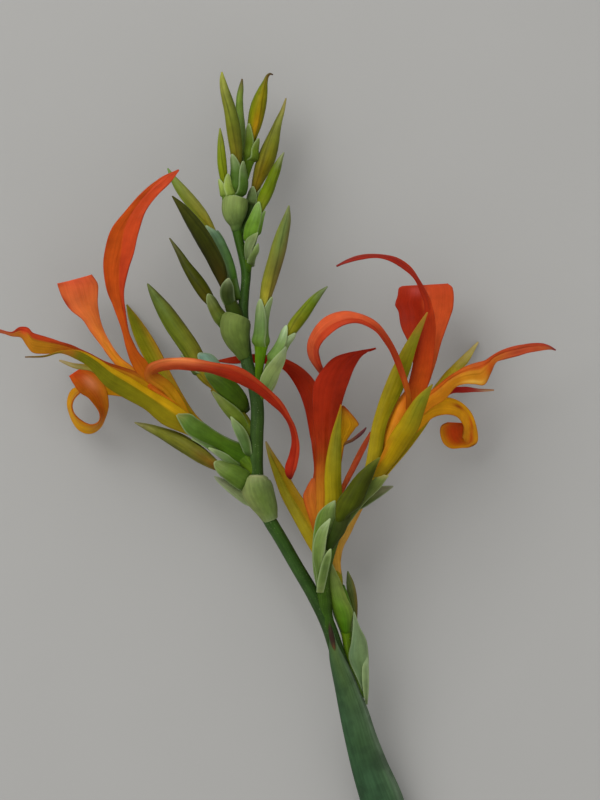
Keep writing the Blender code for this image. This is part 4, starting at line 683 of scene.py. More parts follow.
# Buds. Axis and foot: across, down, height, radius in squares.
# Sepals: angle round the axis from the top, start and end along it, half-width, all in squares.
buds = {
    "bud_top_front": {
        "colours": "6c5c14 685c12 646c20 80843a 94943e", "sides": "6a6c18 465218",
        "sepalColours": "3f5a19 476224 7f9060", "footColours": "4a5f20 2c400c",
        "blushes": [("8c9440", 0.4, 0.9, 0.5, 0.1, 0.4)], "axis": [
            (238, 176, 11.2, 3.2), (237, 163, 11.5, 4.8), (235.8, 148, 11.9, 6.6), (233.2, 128, 12.6, 7.2),
            (230.4, 112, 13.4, 6.3), (227, 99, 14.1, 5.4), (224.6, 90, 14.6, 4.5), (222.6, 80, 15.1, 3),
            (221.9, 72, 15.5, 0.8)],
        "foot": [(238.2, 178.5, 11.2, 6.4), (238, 186, 11.2, 7.2), (237, 197, 11.3, 5)],
        "sepals": [(52, -22, 15, 7.5), (-32, -16, 23, 7.5)]},
    "bud_top_back": {
        "colours": "56702a 688040 748a34 5a4430", "sides": "58702a 6c7e3c",
        "sepalColours": "4a5f20 5a7030 7a8c58", "footColours": "3a5018 2c400c", "axis": [
            (243, 150, 6.6, 3.6), (241.5, 130, 6.6, 4.2), (239.7, 112, 6.6, 4.1), (239.6, 98, 6.6, 3.5),
            (240.8, 88, 6.4, 2.7), (242, 78, 6.2, 0.8)],
        "foot": [(243.1, 152.5, 6.6, 4), (243.2, 160, 7, 4), (240, 190, 10.8, 3.4)], "sepals": []},
    "bud_top_hooked": {
        "colours": "666606 6c6c08 727006 6a7010 5a4020 4a3434", "sides": "62740c 5a5e08",
        "sepalColours": "4c601a 586c19 7a8c48", "footColours": "4f6a10 2c400c",
        "blushes": [("a0700c", 0.6, 0.3, 0.25, 0.12, 0.7), ("90780c", 0.55, 0.55, 0.3, 0.15, 0.5)],
        "axis": [
            (250.4, 148, 9.4, 3.2), (252, 136, 9.8, 5.2), (254.6, 124, 10.3, 7.2), (257.2, 111, 10.7, 8),
            (259.8, 100, 11, 7.3), (262.6, 90, 11, 5.2), (265, 82, 11, 2.8), (267.2, 76, 11, 1.7),
            (270, 73.6, 10.9, 1.2), (273, 74.4, 10.8, 0.6)],
        "foot": [
            (249.6, 150.5, 9.4, 5.4), (249.2, 157, 9.5, 6.4), (247, 170, 9.9, 4), (241, 192, 10.9, 3.6)],
        "sepals": [(55, -14, 12, 6.5), (-38, -12, 25, 6.5)]},
    "bud_right_long": {
        "colours": "6a5a10 766010 6c6410 686c1e 7e823a 9a8c50", "sides": "6a6c24 505610",
        "sepalColours": "3a4a20 566838 7a8a58", "footColours": "3a5020 264010", "axis": [
            (254, 196, 9, 3.2), (256.5, 184, 8.9, 5.2), (261.5, 170, 8.6, 8), (265.5, 160, 8.4, 9),
            (269, 150, 8.1, 8.5), (272.4, 140, 7.8, 7), (275.5, 130, 7.5, 5.2), (278.8, 120, 7.2, 3.7),
            (282.5, 110, 6.8, 2.3), (286, 97.5, 6.2, 0.7)],
        "foot": [(253.6, 198.3, 9, 4.6), (252.4, 204, 9.2, 5), (248, 216, 10.2, 3.2), (241, 234, 11.7, 3)],
        "sepals": [(-20, -12, 9, 5.5), (66, -10, 10, 5)]},
    "bud_right_short": {
        "colours": "6a7a14 78801e 5c6c0a 5a6a12 858a65", "sides": "64780a 55660c",
        "sepalColours": "4a6a14 5c7e26 7a9850", "footColours": "567111 2b450c", "axis": [
            (256.5, 220, 12.6, 3.2), (260, 209, 13, 4.4), (264, 199, 13.4, 6.2), (268, 190, 13.8, 6.3),
            (272, 180, 14.2, 5.5), (276, 170, 14.6, 4.8), (280.2, 160, 15, 2.7), (284, 152.5, 15.4, 0.7)],
        "foot": [
            (255.6, 222.4, 12.6, 5.4), (253.6, 229, 12.6, 6.6), (251, 241, 12.7, 5.4),
            (249, 257, 12.8, 4.2), (247, 273, 12.8, 4)],
        "sepals": [(-22, -26, 19, 8), (60, -16, 12, 6)]},
    "bud_left_small": {
        "colours": "767d0b 6c780a 6f7c18 80863a", "sides": "6a7810 767d14",
        "sepalColours": "5d7623 82943f 98a860", "footColours": "5d7623 40601c", "axis": [
            (225.2, 187, 12, 2.8), (223.4, 176, 12.1, 4.2), (222, 164, 12.2, 4.8), (221.2, 152, 12.2, 4.2),
            (220.6, 140, 12.2, 3), (220, 128, 12.2, 0.7)],
        "foot": [(225.6, 189.3, 12, 4.6), (227.2, 195, 12, 5.6), (228.5, 203, 12, 6)],
        "sepals": [(40, -12, 13, 6), (-50, -10, 9, 5)]},
    "bud_middle_back": {
        "colours": "8a7a18 7c7620 6e7830 668040", "sides": "6a7a1c 7a783a",
        "sepalColours": "4d6339 637e58 8aa080", "footColours": "637e58 3e5514 33480c", "axis": [
            (213, 231, 12, 3), (207, 222, 11.8, 4.8), (199.5, 212, 11.4, 6.2), (189, 199, 10.8, 6.4),
            (179.5, 187, 10.2, 5.2), (172.5, 177, 9.6, 3), (167.5, 168, 9.2, 0.7)],
        "foot": [
            (213.5, 233, 12, 5.4), (217, 239, 12.1, 6), (222.5, 251, 12.2, 5.6), (228, 264, 12.5, 5),
            (233, 280, 12.9, 4.6), (238, 300, 13.4, 4.2)],
        "sepals": []},
    "bud_middle_dark": {
        "colours": "4a3806 3c3008 2c2a06 2c3006 34380c 404012", "sides": "22240a 3a3e12",
        "sepalColours": "303b12 3a4818 5a6a38", "footColours": "303812 2a4200", "axis": [
            (226.5, 293, 15.2, 3.2), (223.3, 282, 15.8, 5), (219, 268.5, 16.5, 7.4),
            (213, 255.4, 17.3, 7.9), (206.2, 243.2, 18, 8.2), (198.8, 231.2, 18.7, 7.8),
            (190.6, 219.4, 19.5, 6.6), (182, 207.6, 20.3, 4.2), (172.5, 196.5, 21, 0.7)],
        "foot": [
            (227.4, 295.3, 15.2, 5.2), (230, 302, 15.1, 6.4), (235, 314, 14.8, 7.6), (238, 322, 14.6, 6)],
        "sepals": []},
    "bud_middle_front": {
        "colours": "5e4e06 4a4004 3c3e08 3c420e 5e5c38", "sides": "343606 44480e",
        "sepalColours": "3d5012 51591f 6f7a48", "footColours": "3d5012 35500c", "axis": [
            (216.5, 312, 13.4, 3), (212, 304, 13.3, 4.6), (206, 295, 13.1, 6.6), (199.5, 285, 12.8, 7),
            (193, 275.5, 12.5, 6.2), (186, 265, 12.1, 4.7), (178.5, 252, 11.7, 3),
            (169.5, 238, 11.3, 0.7)],
        "foot": [(217.7, 314, 13.4, 5), (221, 319, 13.6, 6.4), (229, 328, 14.4, 7)],
        "sepals": [(14, -14, 19, 8.4)]},
    "bud_left_big": {
        "colours": "86701a 7c6e1a 62661a 546018 586830 687240", "sides": "5a6818 5c541a",
        "sepalColours": "3e4c18 4e6030 647840", "footColours": "7c6a18 5a6418 5c701c 3a4c10",
        "blushes": [("8a3a14", 0.55, 0.1, 0.25, 0.03, 0.5), ("8a6a10", 0.25, 0.06, 0.3, 0.1, 0.7)],
        "axis": [
            (213.4, 385.2, 12.2, 4.6), (205.4, 375.6, 12, 7.4), (197.8, 362.2, 11.7, 9.2),
            (190.4, 348.4, 11.3, 9.8), (182, 336, 10.9, 9.8), (173, 323, 10.4, 9.4), (164.5, 310, 9.9, 8),
            (156.5, 298, 9.4, 5.4), (151, 289.5, 9, 3), (147.3, 283.5, 8.7, 0.8)],
        "foot": [
            (214.8, 387.2, 12.2, 5.4), (220.4, 395.2, 12.3, 6.6), (230.4, 405, 12.8, 6.6),
            (243, 420, 13.6, 6.4), (254, 438, 14.6, 5.6)],
        "sepals": [(-84, 16, 43, 7)]},
    "bud_right_tall": {
        "colours": "8a8020 948c28 a09830 8c8426 706c20 66682a 5c6a30 5c6c36 6e7648",
        "sides": "7a7c28 685830", "sepalColours": "4e6a15 5c7440 8a9a68",
        "footColours": "5a7c10 4a6e0a 3a5010", "axis": [
            (261.8, 334, 16, 3.2), (262.5, 322, 16.2, 4.6), (264, 308, 16.5, 5), (266, 296, 16.8, 6),
            (268.5, 285, 17.2, 7.2), (271.5, 274, 17.7, 7.8), (275.5, 260, 18.4, 8), (279, 247, 19.1, 7.8),
            (282.5, 234, 19.9, 6.6), (286.5, 220, 20.8, 4.5), (289, 206, 21.6, 0.7)],
        "foot": [
            (261.6, 336.5, 16, 5.4), (261.4, 343, 16, 7.2), (260.5, 354, 15.8, 5.6), (259, 372, 15.5, 4),
            (257.5, 396, 15.1, 3.8)],
        "sepals": [(-32, -14, 35, 8), (52, -14, 39, 7.5)]},
    "bud_right_low": {
        "colours": "7f7c10 86801e 6c6c12 5b7018 76815f", "sides": "707c1c 55600c",
        "sepalColours": "4f6a28 6a8444 a8bc94", "footColours": "5e752b 3a5410", "axis": [
            (279.5, 352, 15.6, 3.2), (284, 343, 15.6, 4.4), (289.5, 333, 15.4, 5.6), (296, 323, 15.2, 6.6),
            (303.5, 313.5, 14.8, 6.3), (311.5, 303, 14.3, 5.2), (319.5, 294, 13.8, 3.3),
            (327.5, 286.5, 13.4, 0.7)],
        "foot": [
            (278.3, 354.2, 15.6, 5.2), (275, 361, 15.6, 7), (269, 373, 15.4, 6.2), (262, 388, 15.2, 4.8),
            (258, 404, 15, 4.4)],
        "sepals": [(-42, -14, 26, 7.5), (44, -12, 24, 7)]},
    "bud_under_left_flower": {
        "colours": "6a3c10 6a4a12 5e5c1a 6a6c1e 807a50", "sides": "54561c 70742a",
        "sepalColours": "3c5214 4e6422 707c48", "footColours": "3a4c12 4c6020",
        "blushes": [("6a2c10", 0.3, 0.06, 0.5, 0.08, 0.6)], "axis": [
            (225, 470, 14.8, 3.4), (214, 464, 14.4, 5.6), (203, 456.5, 13.8, 7.8), (192, 449, 13, 8.4),
            (177, 440, 12, 8), (161, 432.5, 11, 5.6), (147, 427, 10, 3.6), (134.5, 422.5, 9.2, 0.7)],
        "foot": [(227, 471, 14.8, 5.6), (233, 474.5, 14.9, 7.6), (244, 482, 14.8, 9), (255, 490, 14.6, 8)],
        "sepals": [(12, -26, 12, 11.5), (-72, -22, 2, 8)]},
    "bud_lowest": {
        "colours": "465428 4a5a28 4e5a24 566232 5e6c40", "sides": "4e6030 66501e",
        "sepalColours": "4a5a24 5a6a38 6a7a50", "footColours": "4a5a20 47601c", "axis": [
            (354.5, 622, 6.2, 2.8), (353.5, 608, 6.2, 4.4), (352, 595, 6.2, 4.8), (350, 583, 6.2, 3.8),
            (347.8, 571.5, 6.2, 0.7)],
        "foot": [(354.6, 624.5, 6.2, 3.8), (354.6, 634, 6.6, 4.4), (354, 656, 8, 4)], "sepals": []},
}
budFinish = {
    "folds": 3,  # petals rolled round each other
    "foldDepth": 0.1,
    "foldMiddle": 0.6,
    # painted shade and light across each rolled petal, following its fold
    "foldPaintedShade": 0.1,
    "foldEdge": 0.09,
    "twist": 0.55,  # turns of the folds from foot to tip
    "seedTwist": 0.37,
    "ends": 0.02,  # no fold in this share of the length at either end
    "seamWidth": 0.05,
    # painted shade in the seam groove where one petal tucks under the next
    "seamPaintedShade": 0.3,
    "footReach": 0.3,  # how far the bud runs down inside its foot
}
sepalFinish = {
    "columns": 10,
    "rows": 24,
    "thickness": 0.26,
    "gap": 0.24,  # millimetres off the bud's skin
    "lift": 0.3,  # and this much more for one that lies over another
    "flare": 0.12,
    "footPart": 0.15,  # share of the length that dips under the skin
    "footDip": 0.25,
    "fullness": 1.12,
    "taperFrom": 0.25,
    "taperPower": 2.2,
    "tipCut": 0.97,
    "tipPower": 0.75,
    "widestTurn": 1.5,
}


def budContour(seed):
    def contour(part, angle):
        turn = budFinish["folds"] * angle / (2 * math.pi) + budFinish["twist"] * part
        phase = (turn + seed * budFinish["seedTwist"]) % 1
        ramp = phase if phase < 1 - budFinish["foldEdge"] else (1 - phase) / budFinish["foldEdge"]
        inside = min(max(part, budFinish["ends"]), 1 - budFinish["ends"])
        ease = math.sin(math.pi * inside) ** 0.4
        seam = math.exp(-(min(phase, 1 - phase) / budFinish["seamWidth"]) ** 2)
        swell = 1 + budFinish["foldDepth"] * ease * (ramp - budFinish["foldMiddle"])
        return swell, 1 + budFinish["foldPaintedShade"] * ease * (ramp - 0.5) - budFinish["seamPaintedShade"] * seam
    return contour


# A sepal clasps the bud: it follows a line through foot and bud, and the skin's radius along it.
def addSepal(name, bud, sepal, layer, seed):
    angle, start, end, halfWidth = sepal
    flare = (*bud["axis"][0][:3], bud["foot"][0][3])
    path = [*reversed(bud["foot"][1:]), flare, *bud["axis"][1:]]
    rowsPerSpan = 10
    fine = along(path, rowsPerSpan * (len(path) - 1))
    centres = [place(*row[0:3]) for row in fine]
    lengths = lengthsAlong(centres)
    budFoot = lengths[rowsPerSpan * (len(bud["foot"]) - 1)]
    reach = [(length - budFoot) / square for length in lengths]
    radii = [row[3] for row in fine]
    sepalColours = bud["sepalColours"]
    leaf = {"colours": sepalColours, "sides": sepalColours.split()[1]}

    def shape(side, step):
        part = step / sepalFinish["rows"]
        distance = start + (end - start) * part
        index = min(max(int(np.searchsorted(reach, distance)) - 1, 0), len(fine) - 2)
        run = (centres[index + 1] - centres[index]).normalized()
        centre = centres[index] + run * (distance - reach[index]) * square
        radius = float(np.interp(distance, reach, radii))
        clear = sepalFinish["gap"] + sepalFinish["lift"] * layer + sepalFinish["flare"] * part**3
        sunk = 1 - smooth(part / sepalFinish["footPart"])
        ring = radius * square + mm * (clear * (1 - sunk) - sepalFinish["footDip"] * sunk)
        right = run.cross(up).normalized()
        skyward = right.cross(run)
        toTip = max(part - sepalFinish["taperFrom"], 0) / (1 - sepalFinish["taperFrom"])
        taper = 1 - toTip ** sepalFinish["taperPower"] * sepalFinish["tipCut"]
        width = sepalFinish["fullness"] * halfWidth * taper ** sepalFinish["tipPower"]
        turn = math.radians(angle) + (2 * side - 1) * min(width * square / ring, sepalFinish["widestTurn"])
        where = centre + (skyward * math.cos(turn) + right * math.sin(turn)) * ring
        grain = ((side - 0.5) * 2 * halfWidth * square / mm, distance * square / mm, seed * seedGrain)
        edgeDistance = min((0.5 - abs(side - 0.5)) * 2 * width, (1 - part) * (end - start)) * square / mm
        return where, grain, edgeDistance, paint(leaf, side, part)

    bm = shapeGrid(sepalFinish["columns"], sepalFinish["rows"], shape)
    addPiece(name, bm, leafyScale, onStalk, sepalFinish["thickness"] * mm)


def camelName(node):
    first, *others = node.split("_")
    return first + "".join(word.capitalize() for word in others)


for index, (node, bud) in enumerate(buds.items()):
    name = camelName(node)
    seed = 40 + index
    first, second = np.array(bud["axis"][0]), np.array(bud["axis"][1])
    inFoot = first - budFinish["footReach"] * (second - first)
    body = {**bud, "stations": [inFoot, *bud["axis"]]}
    home = (node, "bud_dark" if "dark" in node else "bud_olive")
    addRound(name, body, fineness["bud"], seed, home, rolledBud, budContour(seed))
    footColours = bud["footColours"]
    foot = {"colours": footColours, "sides": footColours.split()[0], "stations": bud["foot"]}
    addRound(name + "Foot", foot, fineness["budFoot"], seed, onStalk, fleshyCup)
    for count, sepal in enumerate(bud["sepals"]):
        layer = len(bud["sepals"]) - 1 - count  # the first one named lies on top
        addSepal(name + "Sepal" + str(count + 1), bud, sepal, layer, seed + count)
print("buds done")

# Flowers. Tube and core: across, down, height, radius. Petals and blades: as the bracts.
# A fold is the line where two tones meet, at its place across the foot and across the tip.
leftPetals = {
    "FrontPetal": {
        "colours": "9a7c10 987c0e 8c7408 76680c 545008 603c1c 4a3420", "sides": "60600a b08408",
        "fold": (0.55, 0.95), "wave": 0.05, "blushes": [("96581a", 0.5, 0.76, 0.8, 0.05, 0.8)],
        "stations": [
            (200, 439, 13.2, 206, 427, 13.2, 0.6), (184, 433, 14.4, 192, 416, 14.3, 0.8),
            (163, 424, 14.9, 172, 402, 14.9, 1), (145, 409, 15.4, 152, 391, 15.4, 0.9),
            (125, 398, 16.2, 131, 378, 16.2, 0.8), (106, 386, 17.2, 114, 369, 17.2, 0.6),
            (90, 368, 18.4, 95, 357, 18.4, 0.4), (76, 359, 19.5, 79.4, 350.4, 19.5, 0.2),
            (61, 353.6, 20.4, 62.5, 351.2, 20.4, 0), (45, 357.4, 21.2, 45.5, 355.8, 21.2, 0),
            (26, 357.8, 21.6, 26, 356.6, 21.6, 0)]},
    "LowerPetal": {
        "colours": "8e7a0a 78700c 7e741c 968864", "sides": "6e6208 76641a", "stations": [
            (198, 440, 12, 204, 428, 12, -0.4), (178, 428, 9.4, 186, 412, 9.4, -0.5),
            (158, 414, 7.6, 166, 396, 7.6, -0.5), (135, 398, 6, 142, 382, 6, -0.4),
            (111, 383, 4, 115, 371, 4, -0.3), (88, 372.2, 1.5, 89.4, 365.4, 1.5, -0.2),
            (72.4, 367.8, -0.5, 73.4, 363, -0.5, 0), (58, 361.2, -2, 58.6, 359.4, -2, 0)]},
    "BackPetal": {
        "colours": "988e12 8e7c0a 80760a 6a6a0a 5c5a0c", "sides": "7a7a0e 9a6a10", "stations": [
            (200, 437, 12.2, 207, 426, 12.2, -0.3), (184, 423, 9.9, 195, 414, 10.1, -0.5),
            (168, 398, 7.6, 183, 396, 8, -0.5), (153, 374, 5.2, 172, 376, 5.6, -0.5),
            (143, 356, 2.6, 162, 355, 3, -0.5), (134, 337, -0.2, 152, 338, 0.1, -0.4),
            (128.5, 320, -3, 141, 321, -2.8, -0.2), (125.3, 305, -5.85, 126.6, 304, -5.75, 0)]},
}
leftBlades = {
    "TallBlade": {
        "colours": "a06a06 945008 7c3e06 803806 8e380a a0450e b45012 b64c1c b04420 a83e20",
        "sides": "bc4c13 b0381c", "fold": (1.2, 0.1), "stations": [
            (152, 396, 12.6, 162, 388, 12.6, 0.2), (134, 368, 13.2, 148, 363, 13.2, 0.3),
            (127, 350, 14.2, 137.5, 351, 14.2, 0.3), (121.8, 330, 15.4, 129, 331, 15.4, 0.2),
            (114.8, 310, 16.9, 125.4, 310, 16.7, -0.2), (107.5, 290, 18.6, 124.6, 291, 18.2, -0.5),
            (104.2, 268, 20.3, 128.7, 269, 19.7, -0.8), (106, 250, 21.7, 134.5, 253, 21.1, -0.9),
            (112, 230, 22.7, 139.5, 231, 22.1, -0.8), (126, 212, 23.2, 146, 212, 22.8, -0.5),
            (142, 194, 23.4, 159, 195, 23, -0.3), (160, 179, 23.1, 171, 183, 22.9, 0),
            (178.6, 170, 22.8, 179.8, 171.2, 22.8, 0)]},
    "ShortBlade": {
        "colours": "b07404 c08210 c47818 c87024 c46628 c0602a b85628 c0542c c65030",
        # the dark red blush at the left edge is painted shadow
        "sides": "be5a2a c2602e", "blushes": [("8c2812", 0.02, 0.73, 0.07, 0.07, 0.9)], "stations": [
            (148, 399, 12.2, 158, 388, 12.2, 0.1), (126, 377, 11.7, 137, 370, 11.9, 0.2),
            (109, 357, 11.1, 121, 358, 11.2, 0.3), (98, 341, 10.4, 109.5, 341.5, 10.4, 0.3),
            (89.7, 330, 9.7, 103.4, 330, 9.5, 0.4), (81.5, 319.5, 9, 99.4, 317, 8.6, 0.6),
            (70.5, 310.5, 8.5, 97.4, 304, 7.9, 0.8), (63, 299, 8.2, 97.6, 293, 7.4, 0.8),
            (58.2, 287.5, 8.3, 97.2, 283.5, 7.3, 0.5), (57, 283.6, 8.7, 91.5, 274.3, 7.7, 0.2)]},
    "ArchingBlade": {
        "colours": "b4860e b07c0c b86c20 b85c2c a84420 942e10 8c240c 8a220c 902410 a82a16 b02c18 3c0a0e",
        "sides": "9c3618 841e0a", "fold": (0.3, 0.3),
        # the first blush, pale orange on the loop, is a painted highlight
        "blushes": [("d07840", 0.12, 0.31, 0.3, 0.07, 0.9), ("bc8a10", 0.5, 0.07, 0.9, 0.08, 0.7)],
        "stations": [
            (184, 420.5, 11.8, 190.4, 415, 11.6, 0.1), (175, 407.6, 12.6, 183.6, 401.6, 12.4, 0.1),
            (163, 392, 13.6, 173, 385, 13.2, 0.3), (146, 379, 16, 160, 374, 15.6, 0.4),
            (148.6, 365.4, 18.5, 157, 373, 17.5, 0.5), (163, 358.6, 20.8, 166, 370.4, 19.8, 0.5),
            (180, 357.8, 22.4, 180, 369, 21.4, 0.6), (198, 360, 23.7, 196, 370.6, 22.5, 0.7),
            (217, 362.4, 24.6, 213.4, 373.8, 23.4, 0.7), (235, 366, 25.1, 230.4, 379.2, 23.8, 0.7),
            (251, 374, 25.1, 245.2, 386.6, 23.8, 0.6), (265, 385, 24.7, 259.6, 394.4, 23.4, 0.5),
            (278, 398, 23.9, 271.6, 403.4, 22.7, 0.4), (288, 412, 22.6, 281.5, 413.5, 21.6, 0.4),
            (295.5, 426, 21, 289.6, 427.5, 20.2, 0.3), (298.9, 441, 19.2, 292, 441, 18.4, 0.3),
            (298.8, 455, 17.7, 289.7, 454, 16.7, 0.4), (297, 466, 16, 285.6, 466, 15.4, 0.4),
            (294, 473, 14.9, 286, 474, 14.7, 0.3), (291.6, 479, 14, 289.2, 478.6, 13.9, 0)]},
    "LevelBlade": {
        "colours": "b0840a aa660c 985010 8e480c 9a540e a0501a 9c3c1c 904024 80402c",
        "sides": "a06c10 a02c16", "fold": (0.72, 0.7), "blushes": [
            ("94420e", 0.4, 0.33, 0.6, 0.1, 0.85), ("6a2410", 1, 0.18, 0.16, 0.18, 0.7),
            ("6a4010", 0.66, 0.6, 0.05, 0.35, 0.4), ("c03a20", 0.8, 0.72, 0.35, 0.05, 0.9),
            ("984830", 0.5, 0.92, 0.9, 0.1, 0.9)],
        "stations": [
            (150, 394, 12.8, 156, 384, 12.8, 0.2), (128, 383, 13.3, 134, 371, 13.3, 0.2),
            (104, 371, 14, 106, 361.5, 14, 0.2), (88, 362, 14.8, 90, 353.5, 14.8, 0.2),
            (72, 355, 15.6, 74, 346, 15.6, 0.2), (59, 352.5, 16.2, 60, 341.4, 16.2, 0.3),
            (45, 354, 16.8, 46, 337, 16.8, 0.3), (33, 352.6, 17.1, 33.5, 333, 17.3, 0.3),
            (27, 345.4, 17.2, 28.6, 327.8, 17.6, 0.2), (21.8, 337.8, 17.4, 20.2, 327.4, 17.9, 0),
            (12, 336.2, 17.7, 12, 332.2, 17.9, 0), (0, 332.8, 18, 0, 329.4, 18, 0),
            (-12, 331.5, 18.4, -12, 329.2, 18.4, 0)]},
    "CurledLip": {
        "colours": "a86c08 a87408 b47808 be8408 be8810 aa5006 b85c18 cc4818", "sides": "bc7e0a a86008",
        # the pale salmon blush near the tip is a painted highlight
        "blushes": [("dc8c60", 0.4, 0.89, 0.2, 0.04, 0.6)], "stations": [
            (154, 402, 11.8, 160, 392, 12, 0.1), (136, 399, 10.8, 141, 388, 11.2, 0.1),
            (118, 396, 8.8, 121, 386, 10.2, 0.1), (101, 393, 5.6, 102, 385, 8.6, 0.1),
            (85, 389, 3.2, 87, 386, 7, 0.1), (72.4, 390.5, 1.6, 77, 394.4, 5.6, 0.1),
            (66, 404, 0.7, 72.3, 405, 4.8, 0.1), (69, 418, 0.3, 75, 415.5, 4.4, 0.1),
            (78, 429.5, 0.3, 82, 422.4, 4.2, 0.1), (90, 432.8, 0.3, 90.5, 424.8, 4.6, 0.1),
            (101, 426.5, 1, 98, 420.5, 5.6, 0.1), (106.8, 414, 3.2, 98.6, 410.5, 7.2, 0.2),
            (107.6, 399, 6.2, 89.5, 399, 9, 0.4), (103.4, 383.5, 8.8, 79.5, 392, 10.2, 0.6),
            (92, 372, 10.2, 73, 383, 10.8, 0.4), (79, 369.4, 10.8, 69, 376, 11, 0)]},
}
centrePetals = {
    "LeftPetal": {
        "colours": "a0942c b89a1c b4941a a28620 887c10 80721a 8c8060", "sides": "968e1e a07c10",
        "fold": (0.6, 0.5), "blushes": [("b46a0c", 0.9, 0.3, 0.3, 0.16, 0.6)], "stations": [
            (324, 570, 8.6, 337, 563, 8.6, -0.2), (312, 552, 7.7, 327, 538, 7.5, -0.3),
            (301, 533, 7, 316, 520, 6.8, -0.4), (291, 515, 6.1, 306.5, 504, 5.9, -0.4),
            (281.5, 496.5, 4.7, 296.5, 489, 4.5, -0.4), (274, 476, 3, 286.5, 473, 3, -0.3),
            (268.4, 458.5, 1.2, 276.5, 457.5, 1.1, -0.1), (265, 442, -0.5, 266.6, 441.6, -0.5, 0)]},
    "MiddlePetal": {
        "colours": "b08438 a88a18 968610 84780f 74701a 6c6814 945e0e", "sides": "a0880e 6e6c0a",
        "blushes": [("b87c2c", 0.9, 0.14, 0.5, 0.13, 0.6)], "stations": [
            (328, 574, 10.2, 341, 574, 10.2, 0.3), (323, 550, 12, 340, 550, 12, 0.6),
            (322.5, 525, 12.9, 340, 525, 12.9, 0.7), (325, 500, 13.8, 342, 500, 13.8, 0.8),
            (325, 476, 15, 341, 477, 15, 0.8), (327, 455, 16, 341, 455, 16, 0.6),
            (331, 435, 16.8, 341, 435, 16.8, 0.3), (337, 416, 17.4, 341.4, 416, 17.4, 0),
            (340.4, 404.5, 17.8, 341.6, 404.5, 17.8, 0)]},
    "RightPetal": {
        "colours": "b89044 c09640 a88030 9a5e28", "sides": "c09840 a87c38", "stations": [
            (331, 578, 9.6, 340, 578, 9.6, 0), (332.6, 560, 9.8, 341, 560, 9.6, 0.2),
            (335, 547, 9.6, 343.6, 547, 9.4, 0.2), (342, 531, 8.8, 352, 531, 8.4, -0.1),
            (352.5, 514, 7.8, 361, 511, 7.4, -0.3), (364, 496, 6.5, 370, 493, 6.3, -0.2),
            (375, 478, 5, 376.4, 477, 5, 0)]},
}
centreBlades = {
    "BroadBlade": {
        "colours": "b08420 b87c1c b0641a a4440f a0340c 94280a 861e0a 7c1808 80180a 801c10",
        "sides": "92220c 7e1c0a", "fold": (0.6, 0.6), "blushes": [("c07c1c", 0.5, 0.11, 0.6, 0.12, 0.8)],
        "stations": [
            (317, 530, 10.4, 331, 530, 10.4, 0.1), (316, 500, 10.8, 331, 500, 10.8, 0.3),
            (316, 475, 11.4, 332, 475, 11.4, 0.3), (316, 450, 12.1, 334, 450, 11.9, 0.3),
            (314, 425, 12.9, 338, 425, 12.7, 0.3), (312.5, 403, 13.9, 342, 403, 13.5, 0.3),
            (314, 384, 14.8, 348, 384, 14.4, 0.2), (323, 369, 15.6, 354, 368.6, 15.1, 0.1),
            (334.4, 357.6, 16.2, 361, 357, 15.8, 0), (352, 352.2, 16.3, 368, 351.8, 16.1, 0),
            (375.5, 347.8, 16.1, 376.2, 349.2, 15.9, 0)]},
    "LeaningBlade": {
        "colours": "ac6c18 a85018 9c2c0c 942208 901e08 982410 9c2e16", "sides": "981e08 982c12",
        "stations": [
            (315, 520, 9.8, 328, 520, 9.8, 0), (312, 492, 9, 326, 492, 9, 0),
            (314, 465, 8.2, 327, 462, 8.2, 0), (310, 435, 7.5, 327, 430, 7.7, 0.2),
            (303.5, 404, 6.9, 322, 398, 7.1, 0.3), (293, 381, 6.8, 310, 375, 6.9, 0.3),
            (281, 368, 7, 290, 361, 7, 0.2), (268, 364, 7.6, 272, 356, 7.6, 0.1),
            (252, 362.5, 8.4, 254, 354, 8.4, 0.1), (234, 363.5, 8.8, 236, 356, 8.8, 0),
            (217, 361.8, 9, 217, 360.4, 9, 0)]},
    "SmallEar": {
        "colours": "b06c14 b8681c bc6020 b85420", "sides": "b04a18 b86420", "stations": [
            (314, 533, 9.4, 322, 531, 9.6, 0), (308, 514, 9.6, 319.6, 512, 9.8, 0.1),
            (303.2, 497, 9.6, 317.6, 498, 9.9, 0.1), (306.4, 488, 9.4, 317, 487, 9.8, 0.1),
            (311.4, 478.6, 9.2, 315, 478, 9.4, 0)]},
    "GoldenLip": {
        "colours": "b08a12 c08c10 c08e0e b47e0c a4501a", "sides": "b4860c b07018",
        "blushes": [("a03c18", 0.95, 0.93, 0.3, 0.08, 0.8)], "stations": [
            (322, 520, 9.8, 333, 520, 9.8, 0), (329, 490, 9.9, 337, 488, 9.7, 0),
            (333, 465, 10.2, 341, 462, 10, -0.1), (337, 447, 10.6, 345.4, 443.5, 10.4, -0.1),
            (339, 434, 10.9, 355, 429, 10.8, -0.2), (340, 424, 11.1, 358.4, 423.5, 11, -0.1),
            (341, 412, 11.3, 348.6, 411, 11.3, 0), (342, 405.6, 11.4, 343.6, 405.4, 11.4, 0)]},
    "NarrowBlade": {
        "colours": "b0601c c85c2c c45030 b4482c a44a2c", "sides": "c4642c a84420", "stations": [
            (325, 528, 10.4, 334, 528, 10, 0), (338, 494, 10.9, 343, 494, 10.5, 0),
            (346.5, 475, 11.1, 351.5, 477, 10.8, 0), (354, 459.5, 11.2, 359, 462.5, 10.9, 0),
            (362, 444.5, 11.2, 366.4, 447.4, 10.9, 0), (370, 431.6, 11.1, 371.4, 432.6, 11, 0)]},
    "Style": {
        "colours": "9a8418 7a5a28 5a3438 4c2c34", "sides": "6a4030 4a2a30", "stations": [
            (331, 470, 9.6, 334, 471, 9.6, 0.1), (341, 446, 10.2, 342.6, 448, 10.2, 0.1),
            (352, 439, 10.6, 353, 441.4, 10.6, 0.1), (360.5, 432, 10.8, 362, 434.2, 10.8, 0.1),
            (366, 427, 11, 366.6, 428, 11, 0)]},
}
